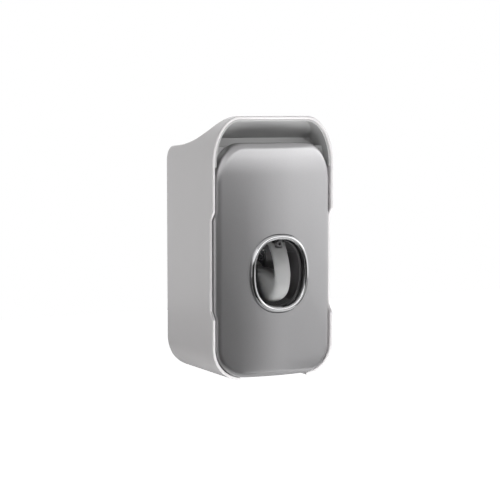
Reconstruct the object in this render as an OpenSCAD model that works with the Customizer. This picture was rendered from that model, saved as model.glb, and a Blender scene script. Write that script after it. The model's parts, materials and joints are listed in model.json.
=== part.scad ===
// Wall-mounted paste dispenser with a hooded shell, a pull-out front unit
// and two hanging places for brushes under it.
// +X is right, the front faces -Y, +Z is up. The origin is the middle of
// the wall plate's back, on the wall.

/* [Shell] */
// Width of the shell
shell_w = 103; // [98:1:115]
// Height of the shell
shell_h = 198; // [194:1:210]
// Depth of the shell, from its back edge to its front rim
shell_d = 82; // [80:1:95]
// Space between the wall and the shell's back edge
wall_gap = 4; // [4:0.5:6]
// Wall of the shell
shell_wall = 2.4; // [2:0.1:2.8]
// Radius of the two lower corners
low_corner = 25; // [23:1:27]
// Half width of the two upper corners' ellipse
high_corner_x = 23; // [20:1:26]
// Height of the two upper corners' ellipse
high_corner_z = 36; // [33:1:38]
// Segments in one corner
corner_steps = 16; // [10:1:24]

/* [Hood] */
// Flat length of the hood behind the rim
hood_flat = 8; // [6:1:10]
// How far the side walls fall behind the hood
hood_drop = 23; // [21:1:24]
// Radius of the side walls' top corner at the back
back_corner = 9; // [7:1:10]
// Depth of the niche under the hood
niche_depth = 27; // [25:1:28]
// Wall of the niche liner
liner_wall = 1.4; // [1.2:0.1:1.6]
// Radius of the niche's upright corners
niche_corner = 11; // [9:1:13]

/* [Grip and notch] */
// Depth of the finger setback in the rim
setback_depth = 4.8; // [4:0.1:5]
// Start of the setback below the hood's top
setback_top = 71; // [68:1:74]
// End of the setback below the hood's top
setback_end = 151; // [148:1:154]
// Length of the setback's ramps
setback_ramp = 6; // [5:1:7]
// Half width of the notch in the shell's floor
notch_half = 28; // [26:1:29]
// Depth of the notch behind the rim
notch_depth = 27; // [24:1:28]

/* [Front panel] */
// Height of the niche above the panel
panel_top_gap = 20; // [19:1:22]
// Gap between the panel and the shell's floor edge
panel_low_gap = 2.6; // [2.5:0.1:3]
// Running gap between the panel and the shell's walls
panel_side_gap = 0.4; // [0.3:0.1:0.6]
// How far the panel's middle stands before the rim
panel_crown = 10; // [9:0.5:10.5]
// Wall of the panel
panel_wall = 2.4; // [2:0.1:2.6]
// How far the panel's skirt goes back behind the rim
skirt_depth = 8; // [7.5:0.5:9]

/* [Oval opening] */
// Middle of the oval below the hood's top
oval_down = 117.5; // [116:0.5:118.5]
// Half width of the oval
oval_half_x = 20.4; // [20:0.1:21.5]
// Half height of the oval
oval_half_z = 24.85; // [24.5:0.1:25.5]
// Squareness of the oval, 2 is an ellipse
oval_power = 2.35; // [2.2:0.05:2.5]
// Points round the oval
oval_steps = 64; // [48:4:80]
// Width of the ring's band at the sides
band_side = 4.1; // [3.8:0.1:4.4]
// Width of the ring's band above and below
band_top = 4.85; // [4.6:0.1:5]
// How far the ring stands before the panel's middle
ring_proud = 1.5; // [1:0.1:2]

/* [Chamber and lever] */
// Wall of the chamber's tunnel
tunnel_wall = 1.8; // [1.6:0.1:2]
// Back of the chamber behind the rim
tunnel_depth = 30; // [29:0.5:31]
// Width of the lever's blade
blade_w = 13; // [12.6:0.1:14]
// Thickness of the lever's blade
blade_t = 2.6; // [2.4:0.1:2.8]
// Radius of the blade's bow above its belly
blade_bow = 42; // [41:1:46]
// How far the blade's belly stands before the ring
blade_proud = 4.2; // [3.8:0.1:5]
// How far back the blade's toe sweeps under it
toe_reach = 27; // [25:0.5:28]
// Radius of the hinge pin
pin_r = 1.5; // [1.4:0.1:1.6]
// Radial clearance of the lever on its pin
pin_clearance = 0.04; // [0.03:0.01:0.06]
// Height of the pin above the oval's edge
pin_up = 6.6; // [6.4:0.1:7]
// Place of the pin behind the rim
pin_back = 4; // [3.8:0.1:4.4]

/* [Pump] */
// Middle of the pump bulb below the oval's middle
bulb_down = 5.5; // [5:0.5:6]
// Radius of the pump bulb
bulb_r = 14; // [13.5:0.5:14.5]
// Depth of the bulb's dome
bulb_depth = 14; // [13.5:0.5:14.5]
// Wall of the bulb
bulb_wall = 1.8; // [1.6:0.1:2]
// Place of the tube's axis behind the rim
tube_back = 40; // [39:0.5:41]
// Radius of the socket that holds the tube's neck
socket_r = 6.5; // [6:0.1:7]
// Height of the socket's mouth above the oval's middle
socket_up = 45; // [44:0.5:46]
// Radius of the paste channels
channel_r = 2; // [1.8:0.1:2.2]

/* [Brush rack] */
// Distance between the two brush slots
slot_pitch = 26; // [25:1:28]
// Clear width of a brush slot
slot_w = 9; // [8.6:0.1:9.4]
// Place of the brush necks behind the rim
neck_back = 45.5; // [44:0.5:47]
// Thickness of the rack
rack_t = 3; // [2.6:0.1:3.2]

/* [Wall plate] */
// Width of the wall plate
plate_w = 60; // [58:1:64]
// Height of the wall plate
plate_h = 90; // [88:1:94]
// Height of the plate's middle above the shell's lowest point
plate_up = 108; // [106:1:110]
// Distance between the two wall screws
wall_screw_pitch = 48; // [44:1:50]
// Radius of the wall screw holes
wall_screw_r = 2.25; // [2.1:0.05:2.5]

/* [Hidden] */

$fn = 48;
seat = 0.3;
fit = 0.05;
eps = 0.01;

// Heights and depths that the pieces share
z_low = -plate_up;
z_top = shell_h - plate_up;
y_back = -wall_gap;
y_rim = y_back - shell_d;
half_w = shell_w / 2;
inner_half = half_w - shell_wall;

// Wall plate and hooks
strip_t = 1;
plate_t = wall_gap - strip_t - seat;
plate_y = -strip_t;
plate_front = plate_y - plate_t;
cover_t = 2.3;
cover_back = y_back - fit;
cover_front = cover_back - cover_t;
hook_w = 13;
hook_stem = 4;
hook_lip = 4;
hook_t = 2;
hook_x = 18;
hook_rows = [-34, 22];
hook_play = 0.5;
slot_h = hook_stem + hook_lip + 2.4;
back_boss_half = 4.2;
back_boss_length = 20;
back_screw_length = 13;
back_screw_x = inner_half - back_boss_half;
back_screw_rows = [z_low + 36, z_top - 44];

// Front panel
panel_half = inner_half - panel_side_gap;
panel_z0 = z_low + panel_low_gap;
panel_z1 = z_top - panel_top_gap;
panel_low_r = low_corner - shell_wall;
panel_high_x = high_corner_x - 1;
panel_high_z = high_corner_z - 6;
crown_r = (panel_half * panel_half + panel_crown * panel_crown) / (2 * panel_crown);
y_crown = y_rim - panel_crown;
skirt_y = y_rim + skirt_depth;

// Oval opening
oval_z = z_top - oval_down;
y_ring = y_crown - ring_proud;
ring_back = y_rim - 3;
flange_t = 1.5;

// Frame of the front unit
frame_t = 3;
frame_y1 = skirt_y;
frame_y0 = frame_y1 - frame_t;
leg_x = panel_half - 17.7;
leg_z = oval_z - oval_half_z - 8;
arm_t = 2;
arm_half_z = 10;
arm_z = oval_z + 27.5;
tongue_half = 1.9;
tongue_end = y_rim + 60;
boss_r = 3.4;
high_boss = [panel_half - 12.7, panel_z1 - 20];
middle_boss = [panel_half - 8.7, oval_z - 24.5];
low_boss = [panel_half - 11.7, panel_z0 + 23.4];
boss_places = [for (p = [high_boss, middle_boss, low_boss], side = [-1, 1]) [side * p[0], p[1]]];
screw_r = 1.25;
screw_bite = 4.5;
head_r = 2.5;
head_t = 1.6;

// Rails in the shell
pad_t = 2;
rail_t = 4.8;
groove_depth = 2.6;
groove_half = tongue_half + seat;
rail_half = 9;
rail_x1 = inner_half - pad_t;
rail_x0 = rail_x1 - rail_t;
rail_y0 = y_rim + 14;
rail_y1 = y_rim + 66;
tongue_x = rail_x0 + groove_depth - seat;
rail_screw_places = [[y_rim + 22, 6], [y_rim + 58, -6]];
rail_screw_r = 1.2;
rail_screw_tip = inner_half + 0.8;
arm_gap = 4.3;
arm_x0 = rail_x0 - arm_gap - arm_t;

// Catch between the front unit and the shell
catch_x = panel_half - 8.7;
catch_z = panel_z1 - 32;
magnet_r = 4;
magnet_t = 3;
keeper_t = 1.2;
cup_wall = 1.5;
bracket_half = 6;
bracket_t = 4;
keeper_y = skirt_y + magnet_t + seat;

// Lever, drawn from behind the ring's front plane and from the oval's middle
lever_half = blade_w / 2;
pin_z = oval_z + oval_half_z + pin_up;
pin_y = y_rim + pin_back;
hub_r = 4;
belly_y = y_ring - blade_proud;
belly_z = oval_z - 5.5;
blade_high = oval_z + oval_half_z - 2;
toe_z = oval_z - oval_half_z + 2.6;
arm_inner = 3;
arm_slot_half = 2.8;
arm_slot_depth = 3.8;
web_wall = 2;
web_end = y_ring + 45;
lug_x0 = lever_half + 1;
lug_x1 = lug_x0 + 4;
clip_t = 0.8;
roof_slot_half = lever_half + 0.7;

// Pump
bulb_z = oval_z - bulb_down;
bulb_front = web_end + seat + 0.1;
body_y0 = bulb_front + bulb_depth + 2;
body_t = 10;
body_y1 = body_y0 + body_t;
bulb_flange_t = 2;
bulb_flange_r = bulb_r + 6.5;
clamp_r = bulb_r + 3.8;
clamp_t = 3;
body_half = 22;
body_low = bulb_z - bulb_flange_r - 0.5;
neck_half = 14;
neck_drop = 8;
head_z0 = oval_z + oval_half_z + tunnel_wall + 0.35;
head_z1 = head_z0 + 12;
body_high = head_z0 - neck_drop;
tube_y = y_rim + tube_back;
socket_top = oval_z + socket_up;
socket_outer = socket_r + 2.5;
socket_floor = socket_top - 9;
socket_wall = 3.5;
channel_z = head_z0 + 5.5;
chamber_flange_t = 2;
head_y0 = frame_y1 + chamber_flange_t + 0.2;
nozzle_y = head_y0 + 6;
nozzle_r = 2.2;
nozzle_flange_r = 5;
nozzle_flange_t = 1.5;
outlet_valve_r = 3.2;
outlet_valve_t = 2.1;
outlet_valve_z = head_z0 + nozzle_flange_t + fit;
nozzle_bore = 1.2;
nozzle_z = oval_z + oval_half_z - 0.4 - nozzle_r;
nozzle_tip = y_ring + 2.2;
outlet_x = 9;
outlet_up = 7;
outlet_z = bulb_z + outlet_up;
valve_r = 4;
valve_t = 2.4;
gasket_t = 0.8;
pump_cover_t = 2.4;
cover_half = 16;
cover_below = 8;
cover_low = bulb_z - cover_below;
cover_places = [[-13, 0], [13, 0], [-13, -20], [13, -20], [-13, -36], [13, -36]];
tab_half = arm_x0 - seat;
tab_t = 4;
tab_inset = 4;
tab_screw_x = tab_half - tab_inset;
tab_screw_z = 6;
tab_bite = 2.8;
spring_wire = 0.5;
spring_r = 8.5;
spring_turns = 4;

// Brush rack
rack_z0 = z_low + 7;
rack_z1 = rack_z0 + rack_t;
rack_half = inner_half - 12.1;
rack_y0 = y_rim + notch_depth + 1;
rack_y1 = y_rim + 70;
grip_t = 1.4;
grip_lip = 1.2;
slot_end = y_rim + neck_back + 0.5;
slots = [-slot_pitch / 2, slot_pitch / 2];
rack_screw_x = inner_half - 19.1;
rack_screw_y = y_rim + 64;

// Points of a quarter of an ellipse, from the angle a0 on
function quarter(cx, cz, rx, rz, a0) = [
  for (i = [0:corner_steps])
    let (a = a0 + 90 * i / corner_steps)
      [cx + rx * cos(a), cz + rz * sin(a)]
];

// Upright outline with round lower corners and elliptical upper corners
function outline(half, z0, z1, low_r, high_x, high_z) = concat(
  quarter(half - low_r, z0 + low_r, low_r, low_r, 270),
  quarter(half - high_x, z1 - high_z, high_x, high_z, 0),
  quarter(-half + high_x, z1 - high_z, high_x, high_z, 90),
  quarter(-half + low_r, z0 + low_r, low_r, low_r, 180)
);

function shell_outline(inset) = outline(
  half_w - inset, z_low + inset, z_top - inset,
  low_corner - inset, high_corner_x - inset, high_corner_z - inset
);

function panel_outline(inset) = outline(
  panel_half - inset, panel_z0 + inset, panel_z1 - inset,
  panel_low_r - inset, panel_high_x - inset, panel_high_z - inset
);

// Squarish oval, grown by gx at its sides and by gz above and below
function oval(gx, gz) = [
  for (i = [0:oval_steps - 1])
    let (a = 360 * i / oval_steps, c = cos(a), s = sin(a))
      [
        (oval_half_x + gx) * sign(c) * pow(abs(c), 2 / oval_power),
        oval_z + (oval_half_z + gz) * sign(s) * pow(abs(s), 2 / oval_power)
      ]
];

// Line of the hood's fall, as depth behind the rim and height, lowered by lift
function fall(t, lift) =
  let (
    a = pow(1 - t, 3),
    b = 3 * t * pow(1 - t, 2),
    c = 3 * t * t * (1 - t),
    d = pow(t, 3),
    end = shell_d - back_corner
  )
    [
      y_rim + a * hood_flat + b * (hood_flat + 12) + c * (hood_flat + 30) + d * end,
      z_top - lift - hood_drop * (0.54 * b + 0.935 * c + d)
    ];

// Everything above the hood, its fall and the back corner, lowered by lift
function above_hood(lift) = concat(
  [[y_rim - 20, z_top + 10], [y_rim - 20, z_top - lift]],
  [for (i = [0:20]) fall(i / 20, lift)],
  [
    for (i = [1:8])
      let (a = 90 - 90 * i / 8)
        [
          y_back - back_corner + back_corner * cos(a),
          z_top - lift - hood_drop - back_corner + back_corner * sin(a)
        ]
  ],
  [[y_back + 10, z_top - lift - hood_drop - back_corner], [y_back + 10, z_top + 10]]
);

module slab_y(points, y0, y1) {
  translate([0, y1, 0]) rotate([90, 0, 0]) linear_extrude(y1 - y0) polygon(points);
}

module slab_x(points, x0, x1) {
  translate([x0, 0, 0]) rotate([90, 0, 90]) linear_extrude(x1 - x0) polygon(points);
}

module block(a, b) {
  translate(a) cube(b - a);
}

module rod_x(x0, x1, y, z, r) {
  translate([x0, y, z]) rotate([0, 90, 0]) cylinder(h = x1 - x0, r = r);
}

module rod_y(x, z, y0, y1, r) {
  translate([x, y1, z]) rotate([90, 0, 0]) cylinder(h = y1 - y0, r = r);
}

module rod_z(x, y, z0, z1, r) {
  translate([x, y, z0]) cylinder(h = z1 - z0, r = r);
}

// Pan-head screw along Y with its head at the back
module back_screw(x, z, y_tip, y_seat) {
  rod_y(x, z, y_tip, y_seat + eps, screw_r);
  difference() {
    rod_y(x, z, y_seat, y_seat + head_t, head_r);
    block([x - 0.4, y_seat + head_t - 0.7, z - 1.6], [x + 0.4, y_seat + head_t + 1, z + 1.6]);
    block([x - 1.6, y_seat + head_t - 0.7, z - 0.4], [x + 1.6, y_seat + head_t + 1, z + 0.4]);
  }
}

module wall_plate() {
  color("whitesmoke") {
    difference() {
      block([-plate_w / 2, plate_front, -plate_h / 2], [plate_w / 2, plate_y, plate_h / 2]);
      for (z = [-wall_screw_pitch / 2, wall_screw_pitch / 2]) {
        rod_y(0, z, plate_front - 1, plate_y + 1, wall_screw_r);
        rod_y(0, z, plate_front - 1, plate_front + 1, wall_screw_r * 2);
      }
    }
    for (x = [-hook_x, hook_x], z = hook_rows) {
      block([x - hook_w / 2, cover_front - seat, z], [x + hook_w / 2, plate_front + eps, z + hook_stem]);
      block([x - hook_w / 2, cover_front - seat - hook_t, z],
            [x + hook_w / 2, cover_front - seat, z + hook_stem + hook_lip]);
    }
  }
}

module adhesive_pad() {
  color("dimgray")
    difference() {
      block([-plate_w / 2 + 2, -strip_t, -plate_h / 2 + 3], [plate_w / 2 - 2, 0, plate_h / 2 - 3]);
      for (z = [-wall_screw_pitch / 2, wall_screw_pitch / 2])
        rod_y(0, z, -strip_t - 1, 1, wall_screw_r * 2.4);
    }
}

module outer_shell() {
  color("white") {
    difference() {
      slab_y(shell_outline(0), y_rim, y_back);
      slab_x(above_hood(0), -half_w - 1, half_w + 1);
      shell_cavity();
      finger_setbacks();
      floor_cuts();
      rail_screw_holes();
    }
    shell_bosses();
  }
}

// Room inside the shell: roofed over the niche, open above the tube
module shell_cavity() {
  difference() {
    slab_y(shell_outline(shell_wall), y_rim - 1, y_back + 1);
    intersection() {
      slab_x(above_hood(shell_wall), -half_w, half_w);
      block([-half_w, y_rim - 2, z_top - 60], [half_w, y_rim + niche_depth + liner_wall, z_top + 5]);
    }
  }
}

module finger_setbacks() {
  high = z_top - setback_top;
  low = z_top - setback_end;
  profile = [
    [y_rim - 1, high], [y_rim, high], [y_rim + setback_depth, high - setback_ramp],
    [y_rim + setback_depth, low + setback_ramp], [y_rim, low], [y_rim - 1, low]
  ];
  slab_x(profile, -half_w - 1, half_w + 1);
}

module floor_cuts() {
  block([-notch_half, y_rim - 1, z_low - 1], [notch_half, y_rim + notch_depth, z_low + 5]);
  for (x = slots) {
    w = slot_w / 2 + grip_t + 0.4;
    block([x - w, y_rim + notch_depth - 1, z_low - 1], [x + w, slot_end, z_low + 5]);
    rod_z(x, slot_end, z_low - 1, z_low + 5, w);
  }
}

module rail_screw_holes() {
  for (side = [0, 1], p = rail_screw_places)
    mirror([side, 0, 0]) rod_x(inner_half - 1, rail_screw_tip + 0.1, p[0], arm_z + p[1], rail_screw_r);
}

module shell_bosses() {
  for (side = [-1, 1]) {
    intersection() {
      slab_y(shell_outline(shell_wall / 2), y_rim, y_back);
      union() {
        for (z = back_screw_rows)
          difference() {
            translate([side * (back_screw_x + 0.6), 0, 0])
              block([-back_boss_half, cover_front - back_boss_length, z - 4],
                    [back_boss_half, cover_front - fit, z + 4]);
            rod_y(side * back_screw_x, z, cover_front - back_screw_length - 1, cover_front + 1, screw_r);
          }
        difference() {
          translate([side * (inner_half - pad_t / 2 + 0.5), 0, 0])
            block([-pad_t / 2 - 0.5, rail_y0, arm_z - rail_half], [pad_t / 2 + 0.5, rail_y1, arm_z + rail_half]);
          for (p = rail_screw_places)
            rod_x(side * inner_half - 3, side * inner_half + 3, p[0], arm_z + p[1], rail_screw_r);
        }
        translate([side * catch_x, 0, 0])
          block([side < 0 ? catch_x - inner_half - 1 : -bracket_half, keeper_y + keeper_t, catch_z - bracket_half],
                [side < 0 ? bracket_half : inner_half + 1 - catch_x, keeper_y + keeper_t + bracket_t, catch_z + bracket_half]);
      }
    }
    difference() {
      intersection() {
        slab_y(shell_outline(shell_wall / 2), y_rim, y_back);
        rod_z(side * rack_screw_x, rack_screw_y, z_low, rack_z0 - fit, 3.6);
      }
      rod_z(side * rack_screw_x, rack_screw_y, rack_z0 - 4.5, rack_z0 + 1, screw_r);
    }
  }
}

// Outline of the niche seen from above, grown inwards by t
function niche_plan(t) =
  let (r = niche_corner - t, h = inner_half - fit - t, y1 = y_rim + niche_depth - t)
    concat(
      [[-h, y_rim - 2], [h, y_rim - 2]],
      [for (i = [0:12]) let (a = 90 * i / 12) [h - r + r * cos(a), y1 - r + r * sin(a)]],
      [for (i = [0:12]) let (a = 90 + 90 * i / 12) [-h + r + r * cos(a), y1 - r + r * sin(a)]]
    );

module niche_body(t) {
  difference() {
    intersection() {
      slab_y(shell_outline(shell_wall + fit + t), y_rim - 2, y_back);
      translate([0, 0, z_low]) linear_extrude(shell_h) polygon(niche_plan(t));
    }
    slab_x(above_hood(shell_wall + fit + t), -half_w, half_w);
  }
}

// The niche liner: roof, sides, back and floor, with an arch behind the panel
module hood_liner() {
  floor_z = panel_z1 - 4;
  lip_z = panel_z1 - 18;
  arch_z = panel_z1 - 24;
  arch_y = skirt_y + 1;
  color("gainsboro") {
    difference() {
      niche_body(0);
      difference() {
        niche_body(liner_wall);
        block([-half_w, arch_y, floor_z - 1], [half_w, y_back, floor_z + liner_wall]);
      }
      block([-half_w, y_rim - 5, z_low], [half_w, y_rim + 0.8, z_top]);
      block([-half_w, arch_y + liner_wall, z_low], [half_w, y_back, floor_z]);
      block([-half_w, y_rim - 5, z_low], [half_w, y_back, lip_z]);
      slab_y(panel_outline(-0.5), y_rim - 5, arch_y);
    }
    difference() {
      slab_y(shell_outline(shell_wall + fit), arch_y, arch_y + liner_wall);
      slab_y(panel_outline(4), arch_y - 1, arch_y + liner_wall + 1);
      block([-half_w, arch_y - 1, floor_z + liner_wall], [half_w, arch_y + liner_wall + 1, z_top]);
      block([-half_w, arch_y - 1, z_low - 1], [half_w, arch_y + liner_wall + 1, arch_z]);
    }
  }
}

module back_cover() {
  color("white")
    difference() {
      slab_y(shell_outline(shell_wall + fit), cover_front, cover_back);
      block([-half_w, cover_front - 1, z_top - hood_drop - back_corner], [half_w, 0, z_top + 5]);
      for (x = [-hook_x, hook_x], z = hook_rows)
        block([x - hook_w / 2 - 0.5, cover_front - 1, z + hook_stem + hook_play - slot_h],
              [x + hook_w / 2 + 0.5, 0, z + hook_stem + hook_play]);
      for (side = [-1, 1], z = back_screw_rows) {
        rod_y(side * back_screw_x, z, cover_front - 1, 0, screw_r + fit);
        rod_y(side * back_screw_x, z, cover_back - head_t, 0, head_r + 0.2);
      }
    }
}

module back_cover_screws() {
  color("silver")
    for (side = [-1, 1], z = back_screw_rows)
      back_screw(side * back_screw_x, z, cover_front - back_screw_length, cover_back - head_t);
}

module slot_shape(x, w, z0, z1) {
  block([x - w, rack_y0 - 1, z0], [x + w, slot_end, z1]);
  rod_z(x, slot_end, z0, z1, w);
}

module brush_rack() {
  color("white")
    difference() {
      block([-rack_half, rack_y0, rack_z0], [rack_half, rack_y1, rack_z1]);
      for (x = slots) slot_shape(x, slot_w / 2 + grip_t + fit, rack_z0 - 1, rack_z1 + 1);
      for (side = [-1, 1])
        rod_z(side * rack_screw_x, rack_screw_y, rack_z0 - 1, rack_z1 + 1, screw_r + fit);
    }
}

module neck_grips() {
  outer = slot_w / 2 + grip_t;
  color("dimgray")
    for (x = slots)
      difference() {
        union() {
          slot_shape(x, outer, rack_z0, rack_z1 + eps);
          slot_shape(x, outer + grip_lip, rack_z1, rack_z1 + 0.8);
        }
        slot_shape(x, slot_w / 2, rack_z0 - 1, rack_z1 + 2);
        block([x - 10, rack_y0 - 2, rack_z0 - 1], [x + 10, rack_y0, rack_z1 + 2]);
      }
}

module rack_screws() {
  color("silver")
    for (side = [-1, 1])
      translate([side * rack_screw_x, rack_screw_y, 0]) {
        rod_z(0, 0, rack_z0 - 4, rack_z1 + eps, screw_r);
        difference() {
          rod_z(0, 0, rack_z1, rack_z1 + head_t, head_r);
          block([-1.6, -0.4, rack_z1 + head_t - 0.7], [1.6, 0.4, rack_z1 + head_t + 1]);
          block([-0.4, -1.6, rack_z1 + head_t - 0.7], [0.4, 1.6, rack_z1 + head_t + 1]);
        }
      }
}

module rail(side) {
  color("lightgray")
    difference() {
      mirror([side < 0 ? 1 : 0, 0, 0])
        block([rail_x0, rail_y0, arm_z - rail_half], [rail_x1, rail_y1, arm_z + rail_half]);
      mirror([side < 0 ? 1 : 0, 0, 0])
        block([rail_x0 - 1, rail_y0 - 1, arm_z - groove_half],
              [rail_x0 + groove_depth, rail_y1 + 1, arm_z + groove_half]);
      for (p = rail_screw_places) {
        rod_x(side * rail_x0 - 6, side * rail_x0 + 6, p[0], arm_z + p[1], rail_screw_r + fit);
        rod_x(side < 0 ? -rail_x0 - head_t : rail_x0 - 1, side < 0 ? 1 - rail_x0 : rail_x0 + head_t,
              p[0], arm_z + p[1], head_r + 0.2);
      }
    }
}

module left_rail() {
  rail(-1);
}

module right_rail() {
  rail(1);
}

module rail_screws() {
  color("silver")
    for (side = [-1, 1], p = rail_screw_places)
      mirror([side < 0 ? 1 : 0, 0, 0]) {
        rod_x(rail_x0 + head_t - eps, rail_screw_tip, p[0], arm_z + p[1], rail_screw_r);
        difference() {
          rod_x(rail_x0 + 0.1, rail_x0 + head_t, p[0], arm_z + p[1], head_r);
          block([rail_x0 - 1, p[0] - 1.6, arm_z + p[1] - 0.4], [rail_x0 + 0.7, p[0] + 1.6, arm_z + p[1] + 0.4]);
          block([rail_x0 - 1, p[0] - 0.4, arm_z + p[1] - 1.6], [rail_x0 + 0.7, p[0] + 0.4, arm_z + p[1] + 1.6]);
        }
      }
}

module keeper_discs() {
  color("silver")
    for (side = [-1, 1])
      rod_y(side * catch_x, catch_z, keeper_y, keeper_y + keeper_t, magnet_r);
}

// The panel's crowned body, inset all round and from its front
module panel_body(inset, y_end) {
  intersection() {
    slab_y(panel_outline(inset), y_crown - 1, y_end);
    translate([0, y_crown + crown_r, panel_z0 - 1])
      cylinder(h = panel_z1 - panel_z0 + 2, r = crown_r - inset, $fn = 360);
  }
}

module front_panel() {
  color("darkgray")
    difference() {
      union() {
        difference() {
          panel_body(0, skirt_y);
          panel_body(panel_wall, skirt_y + 1);
        }
        intersection() {
          panel_body(panel_wall / 2, skirt_y);
          for (p = boss_places) rod_y(p[0], p[1], y_crown, frame_y0 - fit, boss_r);
        }
      }
      for (p = boss_places) rod_y(p[0], p[1], frame_y0 - screw_bite - 0.5, frame_y0 + 1, screw_r);
      slab_y(oval(band_side + fit, band_top + fit), y_crown - 2, skirt_y);
    }
}

module trim_ring() {
  color("silver")
    difference() {
      union() {
        slab_y(oval(band_side, band_top), y_ring, ring_back);
        slab_y(oval(band_side + 1.6, band_top + 1.6), ring_back - flange_t, ring_back);
      }
      slab_y(oval(0, 0), y_ring - 1, ring_back + 1);
    }
}

module module_frame() {
  color("gray") {
    difference() {
      slab_y(panel_outline(panel_wall + 0.2), frame_y0, frame_y1);
      slab_y(oval(tunnel_wall + 0.4, tunnel_wall + 0.4), frame_y0 - 1, frame_y1 + 1);
      block([-lug_x1 - 2.5, frame_y0 - 1, oval_z], [lug_x1 + 2.5, frame_y1 + 1, pin_z + hub_r + 1.5]);
      block([-leg_x, frame_y0 - 1, z_low], [leg_x, frame_y1 + 1, leg_z]);
      for (p = boss_places) rod_y(p[0], p[1], frame_y0 - 1, frame_y1 + 1, screw_r + fit);
      for (p = chamber_places) rod_y(p[0], p[1], frame_y0 + 0.5, frame_y1 + 1, screw_r);
    }
    for (side = [0, 1])
      mirror([side, 0, 0]) {
        difference() {
          union() {
            block([arm_x0, frame_y1 - eps, arm_z - arm_half_z], [arm_x0 + arm_t, body_y0 - fit, arm_z + arm_half_z]);
            block([tab_half - 8, body_y0 - fit - 3, arm_z - arm_half_z], [arm_x0 + 1, body_y0 - fit, arm_z + arm_half_z]);
          }
          for (z = [-tab_screw_z, tab_screw_z]) rod_y(tab_screw_x, arm_z + z, body_y0 - 6, body_y0 + 1, screw_r);
        }
        block([arm_x0 + 1, frame_y1 - eps, arm_z - tongue_half], [tongue_x, tongue_end, arm_z + tongue_half]);
        difference() {
          rod_y(catch_x, catch_z, frame_y1 - eps, frame_y1 + magnet_t, magnet_r + cup_wall);
          rod_y(catch_x, catch_z, frame_y1, frame_y1 + magnet_t + 1, magnet_r + fit);
        }
      }
  }
}

// Screws that hold the chamber's flange to the frame
chamber_x = oval_half_x + tunnel_wall + 3.6;
chamber_places = [
  [-chamber_x, oval_z - 9], [chamber_x, oval_z - 9], [-chamber_x, oval_z + 9], [chamber_x, oval_z + 9]
];

module frame_screws() {
  color("silver")
    for (p = boss_places) back_screw(p[0], p[1], frame_y0 - screw_bite, frame_y1 + fit);
}

module latch_magnets() {
  color("lightsteelblue")
    for (side = [-1, 1]) rod_y(side * catch_x, catch_z, frame_y1 + fit, frame_y1 + magnet_t, magnet_r);
}

module chamber_shell() {
  y_end = y_rim + tunnel_depth;
  flange_y = frame_y1 + fit;
  color("dimgray")
    difference() {
      union() {
        slab_y(oval(tunnel_wall, tunnel_wall), ring_back + fit, y_end);
        slab_y(oval(tunnel_wall + 6.4, 3.4), flange_y, flange_y + chamber_flange_t);
        for (side = [-1, 1])
          translate([side * (lug_x0 + lug_x1) / 2, 0, 0]) {
            rod_x(-2, 2, pin_y, pin_z, hub_r);
            block([-2, pin_y - hub_r, oval_z + oval_half_z - 3], [2, pin_y + hub_r, pin_z]);
          }
      }
      slab_y(oval(0, 0), ring_back - 1, y_end - 2);
      rod_x(-lug_x1 - 1, lug_x1 + 1, pin_y, pin_z, pin_r + 0.01);
      block([-roof_slot_half, ring_back - 1, oval_z + 10], [roof_slot_half, pin_y + hub_r + 1.2, pin_z + 10]);
      block([-lever_half - 1, y_end - 3, toe_z - 0.5], [lever_half + 1, y_end + 1, oval_z + 14]);
      rod_z(0, nozzle_y, oval_z + 5, head_z0 + 1, nozzle_r + 0.2);
      for (p = chamber_places) rod_y(p[0], p[1], flange_y - 1, flange_y + chamber_flange_t + 1, screw_r + fit);
    }
}

module chamber_screws() {
  color("silver")
    for (p = chamber_places) back_screw(p[0], p[1], frame_y0 + 0.7, frame_y1 + chamber_flange_t + 2 * fit);
}

// Front of the blade above its belly, on the bow's circle or t inside it
function bow_front(z, t) = belly_y + blade_bow - sqrt(pow(blade_bow - t, 2) - pow(z - belly_z, 2));

// Point of the sweep under the belly, from 0 at the belly to 90 at the toe, or t inside it
function sweep(a, t) = [
  belly_y + toe_reach - (toe_reach - t) * cos(a),
  belly_z - (belly_z - toe_z - t) * sin(a)
];

// Side view of the blade, from its top over the belly to the toe and back inside
function blade_profile() =
  let (steps = 16, rise = blade_high - belly_z)
    concat(
      [for (i = [0:steps]) let (z = blade_high - rise * i / steps) [bow_front(z, 0), z]],
      [for (i = [1:steps]) sweep(90 * i / steps, 0)],
      [for (i = [steps:-1:1]) sweep(90 * i / steps, blade_t)],
      [for (i = [steps:-1:0]) let (z = blade_high - rise * i / steps) [bow_front(z, blade_t), z]]
    );

// Side view of the web that carries the push to the bulb
web_top = oval_z - 3.5;
function web_profile() = concat(
  [[bow_front(web_top, 1), web_top]],
  [
    for (i = [1:10])
      let (t = i / 10)
        [y_ring - 2 + 30 * t, web_top + 5.8 * sin(90 * t)]
  ],
  [
    [web_end - 2, bulb_z + 8], [web_end, bulb_z + 6],
    [web_end, bulb_z - 6], [web_end - 2, bulb_z - 8]
  ],
  [for (i = [12:-1:0]) sweep(90 * i / 12, 1)]
);

// Side view of the hollow in the web, which is open below behind the toe
function web_pocket() = concat(
  [[y_ring + 2, oval_z - 8], [y_ring + 26, oval_z - 1.5], [web_end - 7, bulb_z + 3]],
  [[web_end - 7, toe_z - 1], [belly_y + toe_reach, toe_z - 1]],
  [for (a = [80:-20:20]) sweep(a, 3)]
);

// Side view of one arm, from the blade's top back and up to the hub
function arm_profile() = [
  [bow_front(blade_high, 0), blade_high],
  [bow_front(blade_high - 7, 0), blade_high - 7],
  [bow_front(blade_high - 7, 0) + blade_t, blade_high - 7],
  [y_ring + 8, blade_high - 3.4],
  [pin_y - 1, pin_z - hub_r],
  [pin_y + hub_r * 0.7, pin_z - hub_r * 0.7],
  [pin_y - hub_r * 0.7, pin_z + hub_r * 0.7],
  [y_ring + 10.2, blade_high + 2],
  [y_ring + 8.6, blade_high]
];

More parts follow.
